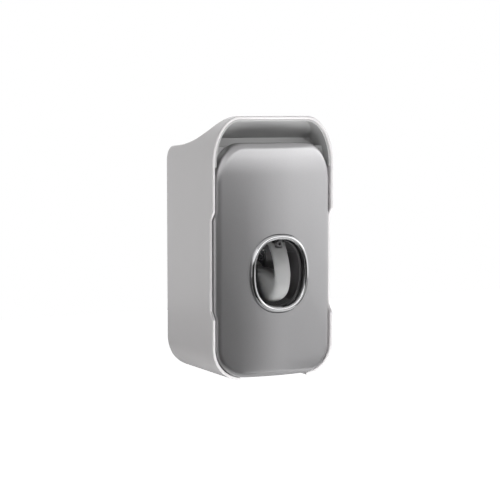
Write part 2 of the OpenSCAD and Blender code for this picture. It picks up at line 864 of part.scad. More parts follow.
module push_lever() {
  color("whitesmoke")
    difference() {
      union() {
        difference() {
          slab_x(blade_profile(), -lever_half, lever_half);
          block([-arm_slot_half, y_ring - 10, blade_high - arm_slot_depth],
                [arm_slot_half, y_ring + 20, blade_high + 5]);
        }
        difference() {
          slab_x(web_profile(), -lever_half, lever_half);
          slab_x(web_pocket(), -lever_half + web_wall, lever_half - web_wall);
        }
        for (side = [0, 1])
          mirror([side, 0, 0]) {
            slab_x(arm_profile(), arm_inner, lever_half);
            rod_x(arm_inner, lever_half, pin_y, pin_z, hub_r);
          }
      }
      rod_x(-lever_half - 1, lever_half + 1, pin_y, pin_z, pin_r + pin_clearance);
    }
}

module lever_pin() {
  color("silver")
    rod_x(-lug_x1 - clip_t - 1.4, lug_x1 + clip_t + 1.4, pin_y, pin_z, pin_r);
}

module pin_clips() {
  color("silver")
    for (side = [0, 1])
      mirror([side, 0, 0])
        difference() {
          rod_x(lug_x1 + fit, lug_x1 + fit + clip_t, pin_y, pin_z, pin_r + 1.6);
          rod_x(lug_x1, lug_x1 + 2, pin_y, pin_z, pin_r + 0.01);
          block([lug_x1 - 1, pin_y - 0.8, pin_z - 6], [lug_x1 + 3, pin_y + 0.8, pin_z - pin_r * 0.5]);
        }
}

module outlet_nozzle() {
  color("white")
    difference() {
      union() {
        rod_y(0, nozzle_z, nozzle_tip, nozzle_y, nozzle_r);
        rod_z(0, nozzle_y, nozzle_z - nozzle_r, head_z0 + 1, nozzle_r);
        rod_z(0, nozzle_y, head_z0 + fit, head_z0 + nozzle_flange_t, nozzle_flange_r);
      }
      rod_y(0, nozzle_z, nozzle_tip - 1, nozzle_y, nozzle_bore);
      rod_z(0, nozzle_y, nozzle_z, head_z0 + 3, nozzle_bore);
    }
}

module outlet_valve() {
  color("lightgray")
    difference() {
      rod_z(0, nozzle_y, outlet_valve_z, outlet_valve_z + outlet_valve_t, outlet_valve_r);
      rod_z(0, nozzle_y, outlet_valve_z - 1, outlet_valve_z + outlet_valve_t / 2, outlet_valve_r / 2);
      block([-1.8, nozzle_y - 0.15, outlet_valve_z - 1],
            [1.8, nozzle_y + 0.15, outlet_valve_z + outlet_valve_t + 1]);
    }
}

module pump_body() {
  color("lightgray")
    difference() {
      union() {
        block([-body_half, body_y0, body_low], [body_half, body_y1, body_high]);
        block([-neck_half, body_y0, body_high - 1], [neck_half, body_y1, head_z1]);
        block([-neck_half, head_y0, head_z0], [neck_half, body_y1, head_z1]);
        rod_z(0, tube_y, head_z0, socket_top, socket_outer + socket_wall);
        block([-tab_half, body_y0, arm_z - arm_half_z], [tab_half, body_y0 + tab_t, arm_z + arm_half_z]);
      }
      rod_z(0, tube_y, socket_floor, socket_top + 1, socket_outer + fit);
      rod_z(0, tube_y, channel_z, socket_floor + 1, channel_r);
      rod_y(0, channel_z, tube_y, body_y1 + 1, channel_r);
      block([-channel_r, body_y1 - 4, bulb_z], [channel_r, body_y1 + 1, channel_z]);
      rod_y(0, bulb_z, body_y0 - 1, body_y1 + 1, channel_r);
      rod_y(0, bulb_z, body_y0 - 1, body_y0 + valve_t, valve_r + fit);
      rod_y(outlet_x, outlet_z, body_y0 - 1, body_y1 - 2, channel_r);
      block([outlet_x - channel_r, body_y1 - 4, outlet_z - channel_r], [outlet_x + channel_r, body_y1 + 1, channel_z]);
      rod_y(outlet_x, channel_z, nozzle_y, body_y1 + 1, channel_r);
      rod_x(0, neck_half + 1, nozzle_y, channel_z, channel_r);
      rod_z(0, nozzle_y, head_z0 - 1, channel_z, channel_r);
      rod_z(0, nozzle_y, head_z0 - 1, outlet_valve_z, nozzle_flange_r + fit);
      rod_z(0, nozzle_y, head_z0 - 1, outlet_valve_z + outlet_valve_t + fit, outlet_valve_r + fit);
      for (a = [45:90:315])
        rod_y(clamp_r * cos(a), bulb_z + clamp_r * sin(a), body_y0 - 1, body_y0 + screw_bite + 0.5, screw_r);
      for (p = cover_places) rod_y(p[0], channel_z + p[1] + 1, body_y1 - screw_bite - 0.5, body_y1 + 1, screw_r);
      for (side = [-1, 1], z = [-tab_screw_z, tab_screw_z])
        rod_y(side * tab_screw_x, arm_z + z, body_y0 - 1, body_y0 + tab_t + 1, screw_r + fit);
    }
}

module pump_screws() {
  color("silver")
    for (side = [-1, 1], z = [-tab_screw_z, tab_screw_z])
      back_screw(side * tab_screw_x, arm_z + z, body_y0 - tab_bite, body_y0 + tab_t + fit);
}

module pump_bulb() {
  flange_y = body_y0 - bulb_flange_t;
  dome = [
    for (i = [0:16])
      let (a = 90 * i / 16)
        [bulb_r * pow(cos(a), 0.7), bulb_depth * pow(sin(a), 0.8)]
  ];
  hollow = [
    for (i = [0:16])
      let (a = 90 * i / 16)
        [(bulb_r - bulb_wall) * pow(cos(a), 0.7), (bulb_depth - bulb_wall) * pow(sin(a), 0.8)]
  ];
  color("white")
    difference() {
      union() {
        rod_y(0, bulb_z, flange_y, body_y0 - fit, bulb_flange_r);
        translate([0, flange_y + eps, bulb_z]) rotate([90, 0, 0]) rotate_extrude() polygon(concat([[0, 0]], dome));
      }
      translate([0, flange_y + eps, bulb_z]) rotate([90, 0, 0]) rotate_extrude() polygon(concat([[0, 0]], hollow));
      rod_y(0, bulb_z, flange_y - 1, body_y0 + 1, bulb_r - bulb_wall);
      for (a = [45:90:315])
        rod_y(clamp_r * cos(a), bulb_z + clamp_r * sin(a), flange_y - 1, body_y0 + 1, screw_r + fit);
    }
}

// Point of the spring's wire centre, at a turn
function coil(t, y0, y1) = [
  spring_r * cos(360 * t), y0 + (y1 - y0) * t / spring_turns, bulb_z + spring_r * sin(360 * t)
];

module return_spring() {
  y0 = body_y0 - spring_wire - fit;
  y1 = bulb_front + bulb_wall + 3.2;
  steps = 12 * spring_turns;
  sides = 6;
  points = [
    for (i = [0:steps], k = [0:sides - 1])
      let (t = i / 12, a = 360 * t, b = 360 * k / sides, c = coil(t, y0, y1))
        [
          c[0] + spring_wire * cos(b) * cos(a),
          c[1] + spring_wire * sin(b),
          c[2] + spring_wire * cos(b) * sin(a)
        ]
  ];
  faces = concat(
    [for (i = [0:steps - 1], k = [0:sides - 1])
      [i * sides + k, (i + 1) * sides + k, i * sides + (k + 1) % sides]],
    [for (i = [0:steps - 1], k = [0:sides - 1])
      [(i + 1) * sides + k, (i + 1) * sides + (k + 1) % sides, i * sides + (k + 1) % sides]],
    [for (k = [1:sides - 2]) [0, k, k + 1]],
    [for (k = [1:sides - 2]) [steps * sides, steps * sides + k + 1, steps * sides + k]]
  );
  color("silver") polyhedron(points, faces);
}

module bulb_clamp_ring() {
  y1 = body_y0 - bulb_flange_t - fit;
  color("gray")
    difference() {
      rod_y(0, bulb_z, y1 - clamp_t, y1, bulb_flange_r);
      rod_y(0, bulb_z, y1 - clamp_t - 1, y1 + 1, bulb_r + 0.5);
      for (a = [45:90:315])
        rod_y(clamp_r * cos(a), bulb_z + clamp_r * sin(a), y1 - clamp_t - 1, y1 + 1, screw_r + fit);
    }
}

module clamp_screws() {
  y_seat = body_y0 - bulb_flange_t - clamp_t - 2 * fit;
  color("silver")
    for (a = [45:90:315])
      translate([clamp_r * cos(a), 0, bulb_z + clamp_r * sin(a)]) {
        rod_y(0, 0, y_seat - eps, body_y0 + screw_bite, screw_r);
        difference() {
          rod_y(0, 0, y_seat - head_t, y_seat, head_r);
          block([-1.6, y_seat - head_t - 1, -0.4], [1.6, y_seat - head_t + 0.7, 0.4]);
          block([-0.4, y_seat - head_t - 1, -1.6], [0.4, y_seat - head_t + 0.7, 1.6]);
        }
      }
}

module inlet_valve() {
  color("lightgray")
    difference() {
      rod_y(0, bulb_z, body_y0, body_y0 + valve_t - fit, valve_r);
      rod_y(0, bulb_z, body_y0 + 0.8, body_y0 + valve_t, 2);
      block([-1.8, body_y0 - 1, bulb_z - 0.15], [1.8, body_y0 + valve_t, bulb_z + 0.15]);
    }
}

module cover_sheet(y0, y1, hole_r) {
  difference() {
    block([-cover_half, y0, cover_low], [cover_half, y1, head_z1 - 1.5]);
    for (p = cover_places) rod_y(p[0], channel_z + p[1] + 1, y0 - 1, y1 + 1, hole_r);
  }
}

module cover_gasket() {
  color("dimgray") cover_sheet(body_y1 + fit, body_y1 + fit + gasket_t, screw_r + 0.1);
}

module pump_cover() {
  y0 = body_y1 + gasket_t + 2 * fit;
  color("gray") cover_sheet(y0, y0 + pump_cover_t, screw_r + fit);
}

module cover_screws() {
  y_seat = body_y1 + gasket_t + pump_cover_t + 3 * fit;
  color("silver")
    for (p = cover_places) back_screw(p[0], channel_z + p[1] + 1, body_y1 - screw_bite, y_seat);
}

module channel_plug() {
  color("dimgray") {
    rod_x(outlet_x + channel_r + 0.5, neck_half + 1, nozzle_y, channel_z, channel_r - 0.02);
    rod_x(neck_half + fit, neck_half + 1.2, nozzle_y, channel_z, channel_r + 1.2);
  }
}

module socket_sleeve() {
  color("whitesmoke")
    difference() {
      union() {
        rod_z(0, tube_y, socket_floor + fit, socket_top + 0.5, socket_outer);
        rod_z(0, tube_y, socket_top + fit, socket_top + 1.6, socket_outer + 2.4);
      }
      rod_z(0, tube_y, socket_floor + 1.6, socket_top + 3, socket_r);
      rod_z(0, tube_y, socket_floor - 1, socket_top, socket_r - 1.5);
    }
}

module tube_gasket() {
  color("dimgray")
    difference() {
      rod_z(0, tube_y, socket_floor + fit, socket_floor + 1.5, socket_r - 1.6);
      rod_z(0, tube_y, socket_floor, socket_floor + 2, channel_r + 0.4);
    }
}

wall_plate();
adhesive_pad();
outer_shell();
hood_liner();
back_cover();
back_cover_screws();
brush_rack();
neck_grips();
rack_screws();
left_rail();
right_rail();
rail_screws();
keeper_discs();
front_panel();
trim_ring();
module_frame();
frame_screws();
latch_magnets();
chamber_shell();
chamber_screws();
push_lever();
lever_pin();
pin_clips();
outlet_nozzle();
outlet_valve();
pump_body();
pump_screws();
pump_bulb();
return_spring();
bulb_clamp_ring();
clamp_screws();
inlet_valve();
cover_gasket();
pump_cover();
cover_screws();
channel_plug();
socket_sleeve();
tube_gasket();
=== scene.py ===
# Looks of a wall-mounted paste dispenser: a hooded white shell, a crowned
# silver front unit that pulls out, a chrome-ringed opening with a push lever,
# and the pump, rails and screws behind them. Lengths are in metres.

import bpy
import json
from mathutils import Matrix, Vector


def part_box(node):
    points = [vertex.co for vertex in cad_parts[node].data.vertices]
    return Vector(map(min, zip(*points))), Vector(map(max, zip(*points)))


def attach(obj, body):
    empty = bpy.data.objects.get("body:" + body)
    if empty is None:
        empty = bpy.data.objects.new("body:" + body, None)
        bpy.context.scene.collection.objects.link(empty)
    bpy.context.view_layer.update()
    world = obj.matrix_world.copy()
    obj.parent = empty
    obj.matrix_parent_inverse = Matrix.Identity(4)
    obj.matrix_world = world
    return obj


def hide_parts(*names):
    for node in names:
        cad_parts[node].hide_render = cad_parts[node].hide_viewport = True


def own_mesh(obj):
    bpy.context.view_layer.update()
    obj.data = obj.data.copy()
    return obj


bl_info = {
    "name": "Paste Dispenser Looks",
    "version": (1, 0, 0),
    "blender": (4, 5, 0),
    "location": "View3D > Sidebar > Dispenser",
    "description": "Builds the finished pieces of a wall-mounted paste dispenser around its packed frame",
    "category": "Object",
}

import contextlib
import json
import math
import bmesh
import bpy
from mathutils import Vector

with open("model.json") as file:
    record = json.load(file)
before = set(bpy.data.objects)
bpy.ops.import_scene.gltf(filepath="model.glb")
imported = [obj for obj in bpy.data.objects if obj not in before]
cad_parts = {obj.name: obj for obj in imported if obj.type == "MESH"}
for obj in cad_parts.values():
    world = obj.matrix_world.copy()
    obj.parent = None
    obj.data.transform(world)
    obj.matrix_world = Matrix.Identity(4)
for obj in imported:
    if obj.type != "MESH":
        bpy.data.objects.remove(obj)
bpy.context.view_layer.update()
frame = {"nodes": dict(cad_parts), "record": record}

MM = 0.001
cad_nodes = frame["nodes"]
node_slots = {part["node"]: part["material_slot"] for part in frame["record"]["subparts"]}
node_bodies = {
    node: body for body, nodes in frame["record"]["behaviour"]["bodies"].items() for node in nodes
}
shell_low, shell_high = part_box("outer_shell")
panel_low, panel_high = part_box("front_panel")
ring_low, ring_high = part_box("trim_ring")
oval_z = (ring_low.z + ring_high.z) / 2
SHARP_ANGLE = math.radians(30)
ROW_SHARP_ANGLE = math.radians(40)
FLAT_ANGLE = math.radians(0.5)
MERGE_DISTANCE = 0.002 * MM
PIN_ROUND = 0.1 * MM
SOFT_ROUND = 0.12 * MM
DISC_ROUND = 0.15 * MM
ROD_STEPS = 48


# Sizes and colours that a user would change

def length_property(name, description, default, low, high):
    """A length that is given here in millimetres."""
    return bpy.props.FloatProperty(
        name=name, description=description, default=default * MM, min=low * MM, max=high * MM,
        unit="LENGTH")


class DispenserSizes(bpy.types.PropertyGroup):
    """Sizes of the rounding and of the shaped pieces."""

    edge_round: length_property(
        "Shell edge", "Rounding of the shell's rim and openings", 0.75, 0.1, 1.1)
    panel_round: length_property(
        "Panel edge", "Rounding round the front panel's face", 4.5, 2.6, 7)
    panel_crown: length_property(
        "Panel crown", "How far the panel's middle stands before its sides", 10, 4, 12)
    panel_roll: length_property(
        "Panel roll", "How far the face falls back towards its upper edge", 1.8, 0, 2)
    panel_wall: length_property("Panel wall", "Thickness of the front panel", 2.4, 1.5, 2.6)
    low_radius: length_property(
        "Low corner", "Radius of the panel's two lower corners", 22.6, 12, 26)
    high_width: length_property(
        "High corner width", "Half width of the panel's upper corner ellipse", 22, 12, 26)
    high_height: length_property(
        "High corner height", "Half height of the panel's upper corner ellipse", 30, 12, 36)
    oval_half_width: length_property(
        "Opening half width", "Half width of the oval opening", 20.4, 15, 24)
    oval_half_height: length_property(
        "Opening half height", "Half height of the oval opening", 24.85, 18, 28)
    oval_power: bpy.props.FloatProperty(
        name="Opening squareness", description="Exponent of the oval, 2 is an ellipse",
        default=2.35, min=2, max=4)
    band_side: length_property(
        "Ring side", "Width of the chrome ring's band at its sides", 4.1, 2, 6)
    band_top: length_property(
        "Ring top", "Width of the chrome ring's band above and below", 4.85, 2, 6)
    lever_bow: length_property(
        "Lever bow", "Radius of the lever's blade above its belly", 42, 41, 46)
    lever_reach: length_property(
        "Lever reach", "How far back the lever's toe sweeps under it", 27, 25, 28)
    lever_crown: length_property(
        "Lever crown", "How far the blade's middle stands before its sides", 0.8, 0.2, 0.9)
    web_round: length_property(
        "Web edge", "Rounding of the upper edges of the lever's web", 4.5, 1, 5.5)
    inner_round: length_property(
        "Inner edge", "Rounding of the moulded pieces inside", 0.25, 0.05, 0.5)


def colour_property(name, description, red, green, blue):
    """A linear colour that the panel shows as a swatch."""
    return bpy.props.FloatVectorProperty(
        name=name, description=description, size=4, subtype="COLOR", min=0, max=1,
        default=(red, green, blue, 1))


class DispenserColours(bpy.types.PropertyGroup):
    """Colours of the finishes."""

    shell: colour_property("Shell", "Glossy white plastic", 0.86, 0.84, 0.845)
    liner: colour_property("Liner", "Satin grey plastic under the hood", 0.50, 0.50, 0.50)
    panel: colour_property("Panel", "Silver-grey lacquer", 0.55, 0.545, 0.555)
    ring: colour_property("Ring", "Chrome plating", 0.78, 0.78, 0.79)
    chamber: colour_property("Chamber", "Glossy black plastic", 0.12, 0.117, 0.12)
    lever: colour_property("Lever", "Smooth pale grey plastic", 0.33, 0.33, 0.33)
    frame_grey: colour_property("Frame", "Matt grey plastic", 0.22, 0.22, 0.23)
    pump: colour_property("Pump", "Matt pale plastic", 0.60, 0.60, 0.61)
    rail: colour_property("Rails", "Waxy natural plastic", 0.70, 0.70, 0.67)
    steel: colour_property("Steel", "Zinc-plated and ground steel", 0.55, 0.55, 0.57)
    silicone: colour_property("Silicone", "Milky silicone", 0.72, 0.72, 0.70)
    rubber: colour_property("Rubber", "Dark soft rubber", 0.035, 0.035, 0.036)
    foam: colour_property("Foam", "Dark foam tape", 0.05, 0.05, 0.052)


# Node trees

class Socket:
    """A node's output that takes Python's operators and adds Math nodes for them."""

    def __init__(self, graph, link):
        self.graph = graph
        self.link = link

    def output(self, name):
        return Socket(self.graph, self.link.node.outputs[name])

    def maths(self, operation, *others):
        return self.graph.maths(operation, self, *others)

    def __add__(self, other):
        return self.maths("ADD", other)

    def __radd__(self, other):
        return self.graph.maths("ADD", other, self)

    def __sub__(self, other):
        return self.maths("SUBTRACT", other)

    def __rsub__(self, other):
        return self.graph.maths("SUBTRACT", other, self)

    def __mul__(self, other):
        return self.maths("MULTIPLY", other)

    def __rmul__(self, other):
        return self.graph.maths("MULTIPLY", other, self)

    def __truediv__(self, other):
        return self.maths("DIVIDE", other)

    def __rtruediv__(self, other):
        return self.graph.maths("DIVIDE", other, self)

    def __pow__(self, other):
        return self.maths("POWER", other)


class Graph:
    """A node tree whose nodes are all made by one method."""

    def __init__(self, tree):
        self.tree = tree

    def add(self, kind, settings=None, inputs=None, output=0):
        node = self.tree.nodes.new(kind)
        for name, value in (settings or {}).items():
            if name == "stops":
                set_stops(node.color_ramp, value)
            else:
                setattr(node, name, value)
        for name, value in (inputs or {}).items():
            for one in value if isinstance(value, list) else [value]:
                if isinstance(one, Socket):
                    self.tree.links.new(one.link, node.inputs[name])
                else:
                    node.inputs[name].default_value = one
        return Socket(self, node.outputs[output]) if node.outputs else None

    def maths(self, operation, *values):
        return self.add("ShaderNodeMath", {"operation": operation}, dict(enumerate(values)))

    def vector(self, x=0.0, y=0.0, z=0.0):
        return self.add("ShaderNodeCombineXYZ", {}, {"X": x, "Y": y, "Z": z})

    def noise(self, at, scale, detail=2.0, distortion=0.0):
        return self.add("ShaderNodeTexNoise", {}, {
            "Vector": at, "Scale": scale, "Detail": detail, "Distortion": distortion})

    def blend(self, factor, first, second):
        return self.add("ShaderNodeMix", {"data_type": "RGBA"}, {0: factor, 6: first, 7: second}, 2)

    def stretched(self, at, scale):
        return self.add("ShaderNodeMapping", {}, {"Vector": at, "Scale": scale})

    def bump(self, height, strength, distance):
        return self.add("ShaderNodeBump", {}, {
            "Height": height, "Strength": strength, "Distance": distance})

    def ray(self, *kinds):
        """1 for rays of any of these kinds, such as Camera or Glossy."""
        path = self.add("ShaderNodeLightPath")
        seen = path.output("Is %s Ray" % kinds[0])
        for kind in kinds[1:]:
            seen = seen.maths("MAXIMUM", path.output("Is %s Ray" % kind))
        return seen


def set_stops(ramp, stops):
    """Sets a ramp's stops from pairs of place and grey level."""
    while len(ramp.elements) > len(stops):
        ramp.elements.remove(ramp.elements[-1])
    while len(ramp.elements) < len(stops):
        ramp.elements.new(1)
    for element, (place, level) in zip(ramp.elements, stops):
        element.position = place
        element.color = (level, level, level, 1)


def shade(colour, factor):
    """The same colour, darker or lighter."""
    return tuple(min(1, part * factor) for part in colour[:3]) + (1,)


def grey(level):
    return (level, level, level, 1)


def new_material(name):
    """An empty material, its graph and the object coordinates."""
    material = bpy.data.materials.new(name + "_finish")
    material.use_nodes = True
    material.node_tree.nodes.clear()
    graph = Graph(material.node_tree)
    return material, graph, graph.add("ShaderNodeTexCoord", output="Object")


def finish_material(material, graph, surface):
    graph.add("ShaderNodeOutputMaterial", {}, {"Surface": surface})
    return material


def principled(material, graph, inputs):
    """Ends a material in a Principled surface."""
    return finish_material(material, graph, graph.add("ShaderNodeBsdfPrincipled", {}, inputs))


def moulded_plastic(name, colour, roughness, coat=0.0, grain=0.25 * MM, relief=0.1, cloud=0.04):
    """Moulded plastic: faint clouds of colour, handling marks in its gloss and a fine skin."""
    material, graph, at = new_material(name)
    clouds = graph.noise(at, 22, 3)
    flow = graph.noise(graph.stretched(at, (40, 40, 9)), 1, 2, 0.6)
    marks = graph.noise(at, 55, 3, 0.3)
    skin = graph.noise(at, 1 / grain, 2)
    waves = graph.noise(at, 70, 1)
    speck = graph.add("ShaderNodeValToRGB", {"stops": [(0.74, 0.0), (0.80, 1.0)]}, {
        "Fac": graph.noise(at, 1100, 1)})
    tone = clouds * 0.6 + flow * 0.4
    base = graph.blend(tone, shade(colour, 1 - cloud), shade(colour, 1 + cloud))
    return principled(material, graph, {
        "Base Color": graph.blend(speck * 0.12, base, shade(colour, 0.8)),
        "Roughness": roughness + (marks - 0.5) * (roughness * 0.2) + speck * 0.03,
        "IOR": 1.5, "Coat Weight": coat, "Coat Roughness": 0.06,
        "Normal": graph.bump(skin * 0.3 + waves, relief, 0.06 * MM)})


def lacquered_silver(name, colour, roughness):
    """Silver lacquer under clear gloss: small flakes, a slow tone and faint wiping marks."""
    material, graph, at = new_material(name)
    flakes = graph.add("ShaderNodeTexVoronoi", {}, {"Vector": at, "Scale": 4200}, "Color")
    flake = graph.add("ShaderNodeSeparateColor", {}, {"Color": flakes})
    clouds = graph.noise(at, 16, 2)
    wiping = graph.noise(graph.stretched(at, (260, 260, 24)), 1, 3, 0.3)
    tone = clouds * 0.5 + flake * 0.5
    return principled(material, graph, {
        "Base Color": graph.blend(tone, shade(colour, 0.93), shade(colour, 1.07)),
        "Metallic": 0.92, "Roughness": roughness + (wiping - 0.5) * 0.06,
        "Coat Weight": 0.7, "Coat Roughness": 0.05, "IOR": 1.5,
        "Normal": graph.bump(flake + graph.noise(at, 45, 1) * 2, 0.05, 0.05 * MM)})


def polished_metal(name, colour, roughness, streak=(900, 60, 900), relief=0.06):
    """Plated or ground metal: hairline streaks, a slow tint and uneven polish."""
    material, graph, at = new_material(name)
    lines = graph.noise(graph.stretched(at, streak), 1, 3)
    tint = graph.noise(at, 90, 2)
    return principled(material, graph, {
        "Base Color": graph.blend(tint, shade(colour, 0.94), shade(colour, 1.05)), "Metallic": 1.0,
        "Roughness": roughness + (lines - 0.5) * roughness + (tint - 0.5) * (roughness * 0.4),
        "Normal": graph.bump(lines, relief, 0.03 * MM)})


def soft_polymer(name, colour, roughness, pore=0.4 * MM, relief=0.25, depth=0.0):
    """Silicone, rubber or foam: a dull skin with fine pores and a dusty tone."""
    material, graph, at = new_material(name)
    dust = graph.noise(at, 65, 4, 0.8)
    pores = graph.noise(at, 1 / pore, 3)
    return principled(material, graph, {
        "Base Color": graph.blend(dust, shade(colour, 0.88), shade(colour, 1.12)),
        "Roughness": roughness + (dust - 0.5) * 0.15,
        "Subsurface Weight": depth, "Subsurface Radius": (0.004, 0.004, 0.004),
        "Subsurface Scale": 0.5, "Normal": graph.bump(pores, relief, 0.08 * MM)})


def make_finishes(colours):
    """One material for each of the record's slots."""
    plastic, metal, soft = moulded_plastic, polished_metal, soft_polymer
    steel = colours.steel
    rows = (
        ("white_abs", plastic, colours.shell, 0.21,
         {"coat": 0.2, "grain": 0.8 * MM, "relief": 0.02, "cloud": 0.01}),
        ("liner_abs", plastic, colours.liner, 0.38, {"relief": 0.12}),
        ("silver_panel", lacquered_silver, colours.panel, 0.36, {}),
        ("ring_chrome", metal, colours.ring, 0.07, {"relief": 0.02}),
        ("chamber_abs", plastic, colours.chamber, 0.16, {"coat": 1.0, "cloud": 0.2}),
        ("lever_abs", plastic, colours.lever, 0.34, {"coat": 0.05, "relief": 0.05, "cloud": 0.02}),
        ("grey_abs", plastic, colours.frame_grey, 0.48, {"grain": 0.5 * MM, "relief": 0.25}),
        ("pump_abs", plastic, colours.pump, 0.44, {"grain": 0.5 * MM, "relief": 0.2}),
        ("rail_acetal", plastic, colours.rail, 0.35, {"cloud": 0.05}),
        ("screw_steel", metal, steel, 0.28, {"streak": (500, 500, 500)}),
        ("pin_steel", metal, steel, 0.16, {"streak": (120, 1500, 1500)}),
        ("spring_steel", metal, shade(steel, 0.9), 0.2, {"streak": (600, 600, 600)}),
        ("magnet_nickel", metal, shade(steel, 1.15), 0.18, {"streak": (300, 300, 300)}),
        ("silicone", soft, colours.silicone, 0.42, {"pore": 0.6 * MM, "relief": 0.12, "depth": 0.25}),
        ("soft_rubber", soft, colours.rubber, 0.62, {"pore": 0.35 * MM, "relief": 0.3}),
        ("foam_tape", soft, colours.foam, 0.85, {"pore": 0.7 * MM, "relief": 0.8}),
    )
    return {name: make(name, colour, gloss, **more) for name, make, colour, gloss, more in rows}


finishes = {}


def finish_of(slot_name):
    """The slot's material, made with all the others when the first is asked for."""
    if not finishes:
        finishes.update(make_finishes(bpy.context.scene.dispenser_colours))
    return finishes[slot_name]


# Mesh helpers

def add_object(name, mesh):
    piece = bpy.data.objects.new(name, mesh)
    bpy.context.scene.collection.objects.link(piece)
    return piece


def settle(piece, *nodes):
    """Gives a piece its finish and its body, and hides the CAD nodes that it stands for."""
    slot_name = node_slots[nodes[0]]
    piece.data.materials.clear()
    piece.data.materials.append(finish_of(slot_name))
    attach(piece, node_bodies[nodes[0]])
    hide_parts(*nodes)
    return piece


@contextlib.contextmanager
def edited(mesh):
    """A bmesh of a mesh, whose changes go back into the mesh."""
    work = bmesh.new()
    work.from_mesh(mesh)
    yield work
    work.to_mesh(mesh)
    work.free()


def mesh_of(name, work):
    """A new mesh from a bmesh, which is freed."""
    mesh = bpy.data.meshes.new(name)
    work.to_mesh(mesh)
    work.free()
    return mesh


def shade_by_angle(mesh, angle=SHARP_ANGLE):
    mesh.shade_smooth()
    mesh.set_sharp_from_angle(angle=angle)


def evaluated_mesh(name, piece):
    """The plain mesh that comes out of a piece's modifiers."""
    bpy.context.view_layer.update()
    evaluated = piece.evaluated_get(bpy.context.evaluated_depsgraph_get())
    mesh = bpy.data.meshes.new_from_object(evaluated)
    mesh.name = name
    if not mesh.polygons:
        raise RuntimeError(name + " came out empty")
    return mesh


def keep_faces_flat(piece):
    normals = piece.modifiers.new("Flat faces", "WEIGHTED_NORMAL")
    normals.keep_sharp = True


def every_edge(work):
    """All the outward edges."""
    return lambda edge: True


def outer_edges(work):
    """Edges whose two faces both lie on the outside of the whole piece, so not those of holes."""
    near = 0.3 * MM
    reaches = {}

    def reach(normal):
        key = tuple(round(part, 2) for part in normal)
        if key not in reaches:
            reaches[key] = max(normal.dot(vertex.co) for vertex in work.verts)
        return reaches[key]

    def lies_outside(edge):
        place = edge.verts[0].co
        return all(reach(face.normal) - face.normal.dot(place) < near for face in edge.link_faces)

    return lies_outside


def refined(node, width, choose=every_edge, steps=2, joined=False):
    """A piece from a CAD node, with its flat faces tidied and its outward edges rounded."""
    work = bmesh.new()
    work.from_mesh(cad_nodes[node].data)
    bmesh.ops.remove_doubles(work, verts=work.verts, dist=MERGE_DISTANCE)
    bmesh.ops.dissolve_limit(work, angle_limit=FLAT_ANGLE, verts=work.verts, edges=work.edges)
    if not joined:
        bmesh.ops.triangulate(work, faces=[face for face in work.faces if len(face.verts) > 4])
    work.normal_update()
    chosen = choose(work)
    weight = work.edges.layers.float.new("bevel_weight_edge")
    for edge in work.edges:
        angle = edge.calc_face_angle_signed(0)
        edge.smooth = abs(angle) < SHARP_ANGLE
        if angle > SHARP_ANGLE and chosen(edge):
            edge[weight] = 1
    for face in work.faces:
        face.smooth = True
    name = node + "_finish"
    piece = add_object(name, mesh_of(name, work))
    bevel = piece.modifiers.new("Rounded edges", "BEVEL")
    bevel.limit_method = "WEIGHT"
    bevel.width = width
    bevel.segments = steps
    bevel.use_clamp_overlap = False
    keep_faces_flat(piece)
    return settle(piece, node)


def mesh_from_rows(name, rows, closed_rows):
    """A quad mesh from rows of points, each row a closed loop."""
    count = len(rows[0])
    points = [point for row in rows for point in row]
    faces = []
    for r in range(len(rows) if closed_rows else len(rows) - 1):
        above = (r + 1) % len(rows)
        for c in range(count):
            after = (c + 1) % count
            faces.append((r * count + c, r * count + after, above * count + after, above * count + c))
    mesh = bpy.data.meshes.new(name)
    mesh.from_pydata(points, [], faces)
    with edited(mesh) as work:
        bmesh.ops.remove_doubles(work, verts=work.verts, dist=MERGE_DISTANCE)
        bare = [edge for edge in work.edges if not edge.link_faces]
        bmesh.ops.delete(work, geom=bare, context="EDGES")
        bmesh.ops.recalc_face_normals(work, faces=work.faces)
    shade_by_angle(mesh, ROW_SHARP_ANGLE)
    return mesh


def joined_mesh(name, meshes):
    """One mesh from several, which are used up."""
    work = bmesh.new()
    for mesh in meshes:
        work.from_mesh(mesh)
        bpy.data.meshes.remove(mesh)
    return mesh_of(name, work)


def quarter_turns(steps):
    """Angles from 0 to a quarter turn, with both ends."""
    return [math.pi / 2 * i / steps for i in range(steps + 1)]


def ramp(value, start, end):
    """0 before the start, 1 past the end and straight between them."""
    return min(1, max(0, (value - start) / (end - start)))


def arc(centre_x, centre_z, radius_x, radius_z, start, steps):
    """Points of a quarter of an ellipse, without its last."""
    turns = [start + turn for turn in quarter_turns(steps)[:-1]]
    return [(centre_x + radius_x * math.cos(t), centre_z + radius_z * math.sin(t)) for t in turns]


def between(first, last, part):
    """A point on the way from one flat point to another."""
    return tuple(a + (b - a) * part for a, b in zip(first, last))


def straight(first, last, steps):
    """Points from first towards last, without the last."""
    return [between(first, last, i / steps) for i in range(steps)]


def panel_outline(sizes, inset):
    """Upright outline of the front panel, counter-clockwise from its lower right corner."""
    half = panel_high.x - inset
    low, high = panel_low.z + inset, panel_high.z - inset
    radius = sizes.low_radius - inset
    wide, tall = sizes.high_width - inset, sizes.high_height - inset
    low_steps, high_steps, side_steps, end_steps = 22, 26, 36, 22
    return (
        arc(half - radius, low + radius, radius, radius, -math.pi / 2, low_steps)
        + straight((half, low + radius), (half, high - tall), side_steps)
        + arc(half - wide, high - tall, wide, tall, 0, high_steps)
        + straight((half - wide, high), (-half + wide, high), end_steps)
        + arc(-half + wide, high - tall, wide, tall, math.pi / 2, high_steps)
        + straight((-half, high - tall), (-half, low + radius), side_steps)
        + arc(-half + radius, low + radius, radius, radius, math.pi, low_steps)
        + straight((-half + radius, low), (half - radius, low), end_steps)
    )


def signed_root(wave, power):
    """A sine or cosine raised to a power with its sign kept."""
    return math.copysign(abs(wave) ** power, wave)


